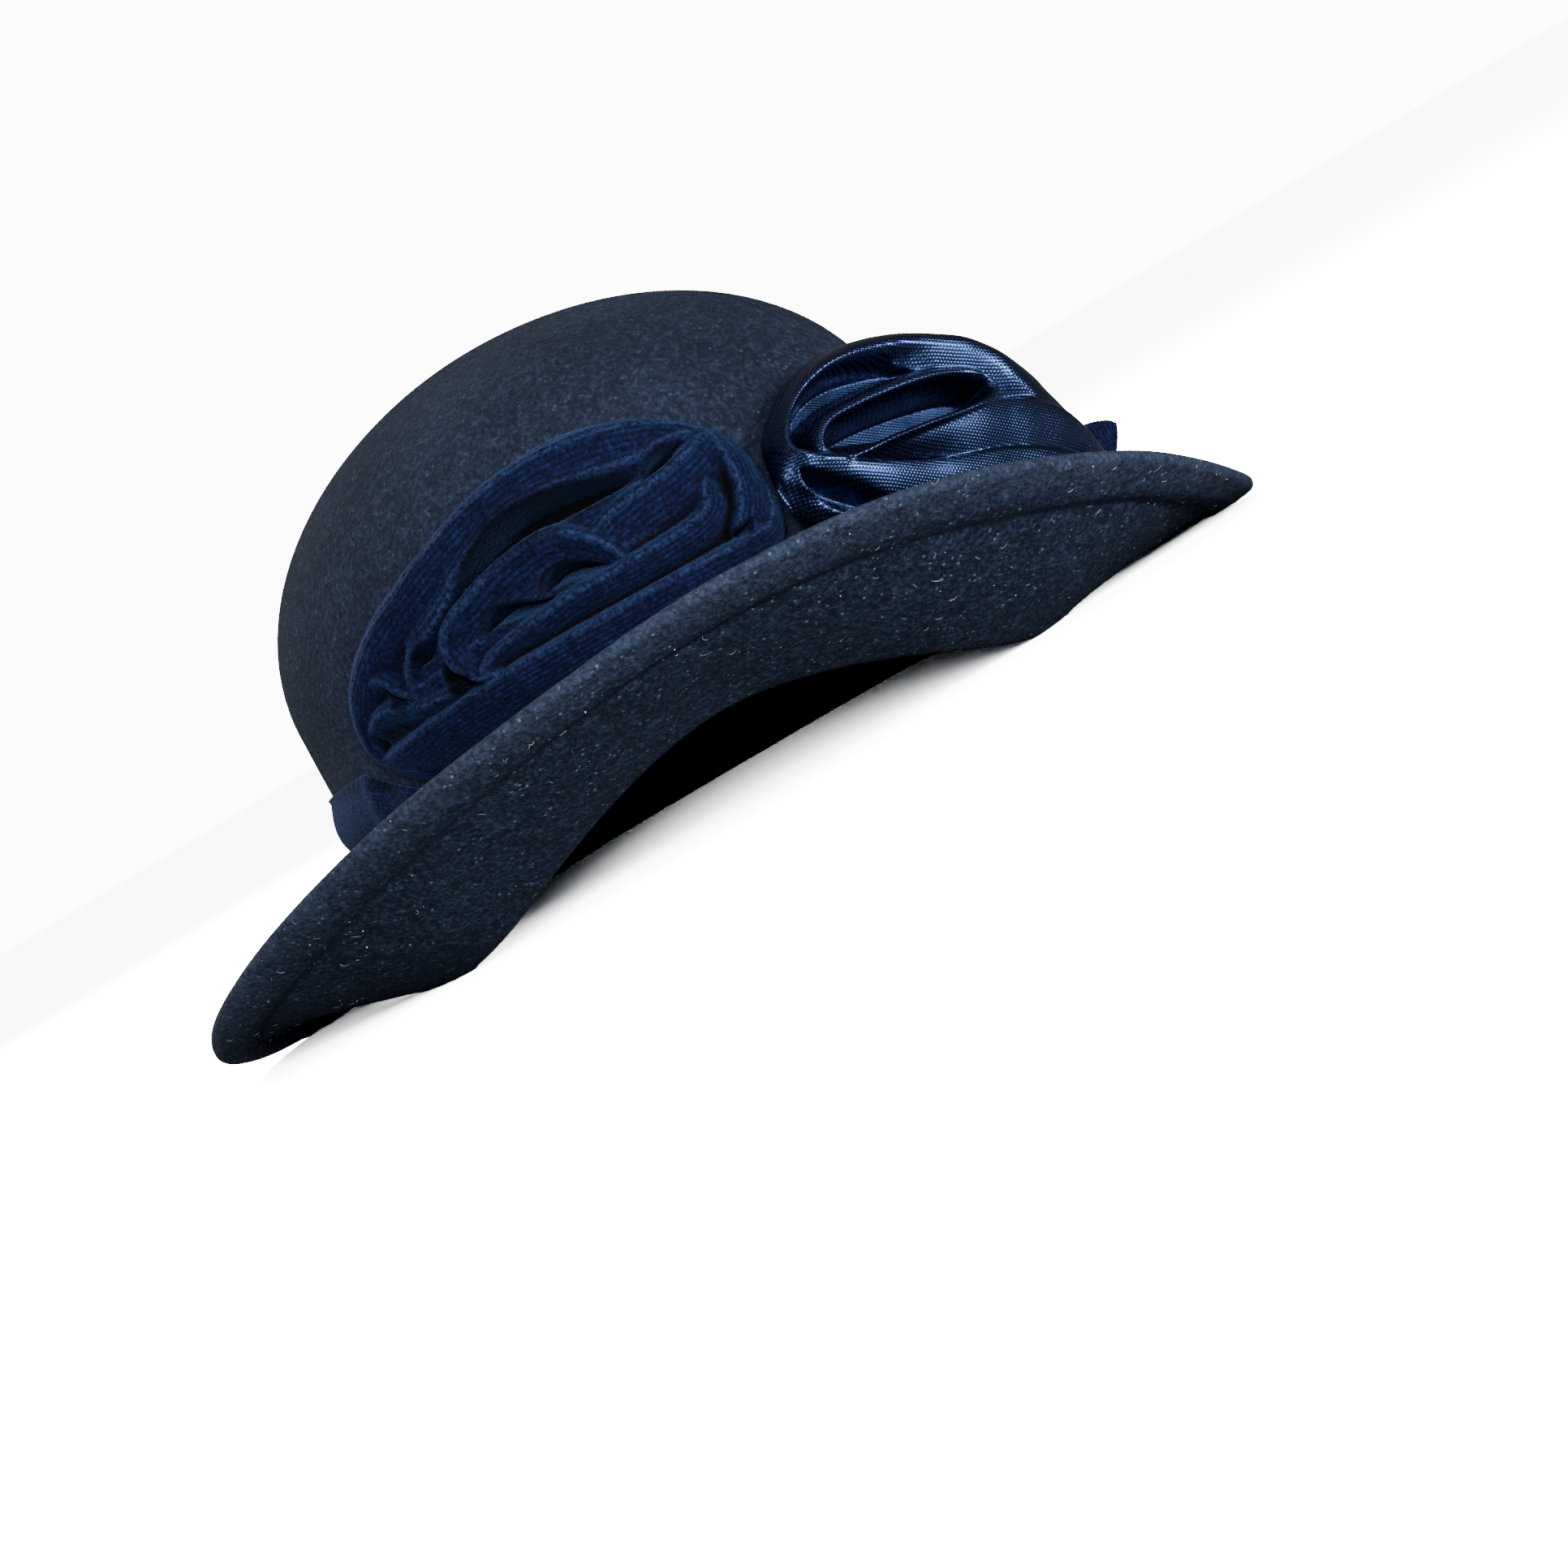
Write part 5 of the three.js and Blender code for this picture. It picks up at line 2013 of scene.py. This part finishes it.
@dataclass(frozen=True)
class SatinFinish:
    """Near black satin: fine rows of short floats with a strong soft gloss.

    Pitches and the weave's height are in metres. The gloss is dulled by the weave and in the
    hollows, from the smoothest on. In the hollows its colour is also darkened to near black:
    painted shade.
    """

    deep: Colour = (0.0008, 0.0010, 0.0026)
    thread: Colour = (0.0026, 0.0038, 0.0110)
    # painted shade colour in the hollows
    hollow: Colour = (0.0002, 0.0002, 0.0006)
    row_pitch: float = 0.00078
    float_pitch: float = 0.0009
    sway: float = 0.25
    hollow_span: Pair = (0.05, 0.6)
    smoothest: float = 0.20
    weave_dulls: float = 0.20
    hollow_dulls: float = 0.10
    weave_bump: float = 0.42
    weave_height: float = 0.00016

    def material(self, shared: SharedEffects) -> Material:
        """Builds the satin's material.

        Args:
            shared: The shared node groups.

        Returns:
            The material.
        """
        material, paint, shader = new_material("satin")
        coords = paint.node("ShaderNodeTexCoord")
        rows = paint.node(
            "ShaderNodeGroup",
            node_tree=shared.rows,
            Row_pitch=self.row_pitch,
            Float_pitch=self.float_pitch,
            Sway=self.sway,
        )
        paint.link(coords.outputs["UV"], rows.inputs["Cloth"])
        weave = paint.times(rows.outputs["Rows"], rows.outputs["Floats"])
        hollow = paint.attribute("hollow")
        body = paint.mix(weave, self.deep, self.thread)
        # Painted shade: the colour goes near black in the hollows.
        shaded = paint.mix(paint.ramp(hollow, *self.hollow_span), body, self.hollow)
        paint.link(shaded, shader.inputs["Base Color"])
        rough = paint.maths("MULTIPLY_ADD", weave, self.weave_dulls, third=self.smoothest)
        rough = paint.maths("MULTIPLY_ADD", hollow, self.hollow_dulls, third=rough)
        paint.link(rough, shader.inputs["Roughness"])
        set_inputs(shader, {
            "IOR": 1.6,
            "Specular IOR Level": 0.8,
            "Specular Tint": (0.21, 0.36, 1.0),
        })
        bump = paint.node("ShaderNodeBump", Strength=self.weave_bump, Distance=self.weave_height)
        paint.link(weave, bump.inputs["Height"])
        paint.link(bump.outputs["Normal"], shader.inputs["Normal"])
        return material


# ------------------------------------------------------------------ stage and camera
@dataclass(frozen=True)
class Lamp:
    """A square soft light that faces the hat: its place and size in metres and power in watts."""

    name: str
    place: Place
    size: float
    power: float


@dataclass
class Studio:
    """A pale floor, soft lights and the camera.

    The sun shines along sun_way, as wide as sun_width in degrees. sky is the world's strength
    as a light, and seen_sky its strength as the camera sees it. In the same way floor_gain makes
    the floor paler to the camera than it is as a reflector.
    """

    azimuth: float = -50.0
    elevation: float = 3.0
    roll: float = 30.9
    distance: float = 1.1
    lens: float = 93.1
    sensor: float = 36.0
    look_at: Place = (-0.0022, -0.0002, 0.010)
    shift: Pair = (0.045, -0.0078)
    floor_size: float = 60.0
    floor_colour: Colour = (0.30, 0.30, 0.305)
    floor_gain: float = 100.0
    sky: float = 0.13
    seen_sky: float = 12.0
    sun_way: Place = (0.45, 0.35, -1.0)
    sun_width: float = 50.0
    sun_strength: float = 0.6
    lit_point: Place = (0.0, 0.0, 0.06)
    lamps: tuple[Lamp, ...] = (
        Lamp("left", (-0.95, -0.80, 0.24), 0.25, 16.0),
        Lamp("right", (-0.06, -1.25, 0.16), 0.22, 16.0),
        Lamp("side", (-1.5, 0.5, 0.7), 0.5, 8.0),
        Lamp("back", (0.35, 1.5, 1.1), 0.6, 24.0),
    )

    def back(self) -> Vector:
        """The direction from the hat to the camera."""
        a, e = math.radians(self.azimuth), math.radians(self.elevation)
        return Vector((math.sin(a) * math.cos(e), -math.cos(a) * math.cos(e), math.sin(e)))

    def add_floor(self) -> None:
        """Lays a wide plain floor that the camera sees as near white."""
        bm = bmesh.new()
        bmesh.ops.create_grid(bm, x_segments=2, y_segments=2, size=self.floor_size)
        floor = finish_mesh("floor", bm)
        material = bpy.data.materials.new("pale_floor")
        material.use_nodes = True
        paint = Painter(material.node_tree)
        paint.tree.nodes.clear()
        seen = paint.node("ShaderNodeLightPath").outputs["Is Camera Ray"]
        bright = tuple(self.floor_gain * value for value in self.floor_colour)
        matt = paint.node("ShaderNodeBsdfDiffuse")
        paint.link(paint.mix(seen, self.floor_colour, bright), matt.inputs["Color"])
        paint.link(matt.outputs[0], paint.node("ShaderNodeOutputMaterial").inputs["Surface"])
        floor.data.materials.append(material)

    def add_sky(self) -> None:
        """Gives the world a soft light and a near white look behind the floor."""
        world = bpy.data.worlds.new("studio")
        world.use_nodes = True
        paint = Painter(world.node_tree)
        backdrop = world.node_tree.nodes["Background"]
        backdrop.inputs["Color"].default_value = (1.0, 1.0, 1.0, 1.0)
        seen = paint.node("ShaderNodeLightPath").outputs["Is Camera Ray"]
        strength = paint.maths("MULTIPLY_ADD", seen, self.seen_sky - self.sky, third=self.sky)
        paint.link(strength, backdrop.inputs["Strength"])
        bpy.context.scene.world = world

    def hang(self, light: bpy.types.Light, place: Vector, way: Vector) -> None:
        """Hangs a light in the scene.

        Args:
            light: The light.
            place: Where it is, in metres.
            way: The direction in which it shines.
        """
        holder = bpy.data.objects.new(light.name, light)
        holder.location = place
        holder.rotation_euler = way.to_track_quat("-Z", "Y").to_euler()
        bpy.context.scene.collection.objects.link(holder)

    def add_sun(self) -> None:
        """Adds a wide soft sun so that the whole floor is lit alike."""
        light = bpy.data.lights.new("sun", "SUN")
        light.energy = self.sun_strength
        light.angle = math.radians(self.sun_width)
        self.hang(light, Vector((0.0, 0.0, 0.0)), Vector(self.sun_way))

    def add_lamp(self, lamp: Lamp) -> None:
        """Adds a square soft light that faces the hat.

        Args:
            lamp: The light's place, size and power.
        """
        light = bpy.data.lights.new(lamp.name, "AREA")
        light.shape = "SQUARE"
        light.size = lamp.size
        light.energy = lamp.power
        place = Vector(lamp.place)
        self.hang(light, place, Vector(self.lit_point) - place)

    def add_camera(self) -> None:
        """Adds the camera, rolled so that the hat tilts as it is worn."""
        forward = -self.back()
        right = forward.cross(Vector((0, 0, 1))).normalized()
        up = right.cross(forward)
        roll = math.radians(self.roll)
        across = right * math.cos(roll) - up * math.sin(roll)
        upward = right * math.sin(roll) + up * math.cos(roll)
        camera = bpy.data.cameras.new("camera")
        camera.lens = self.lens
        camera.sensor_width = self.sensor
        camera.shift_x, camera.shift_y = self.shift
        holder = bpy.data.objects.new("camera", camera)
        place = Vector(self.look_at) + self.back() * self.distance
        matrix = Matrix((across, upward, -forward)).transposed().to_4x4()
        holder.matrix_world = Matrix.Translation(place) @ matrix
        bpy.context.scene.collection.objects.link(holder)
        bpy.context.scene.camera = holder

    def build(self) -> None:
        """Sets up the floor, the lights, the world and the camera."""
        self.add_floor()
        self.add_sky()
        self.add_camera()
        self.add_sun()
        for lamp in self.lamps:
            self.add_lamp(lamp)


def main() -> None:
    """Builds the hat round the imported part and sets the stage."""
    logging.basicConfig(level=logging.INFO, format="%(name)s: %(message)s")
    shared = SharedEffects(nap_group(), rows_group())
    felt_finish = FeltFinish().material(shared)
    velvet = VelvetFinish().material(shared)
    satin = SatinFinish().material(shared)
    felt = FeltBody()
    body = felt.build()
    band = VelvetBand(felt).build()
    velvet_rose = VelvetRose(felt).build()
    leaf = VelvetLeaf(shift=felt.shift).build()
    satin_rose = SatinRose(Ground([body, band, velvet_rose, leaf]), shift=felt.shift).build()
    dress(body, felt_finish, Slot.FELT, "felt_body")
    dress(band, velvet, Slot.VELVET, "velvet_band")
    dress(velvet_rose, velvet, Slot.VELVET, "velvet_rose")
    dress(satin_rose, satin, Slot.SATIN, "satin_rose")
    dress(Lint(body).build(), LintFinish().material(), Slot.FELT)
    dress(leaf, velvet, Slot.VELVET, "velvet_leaf")
    Studio().build()


if __name__ == "__main__":
    main()
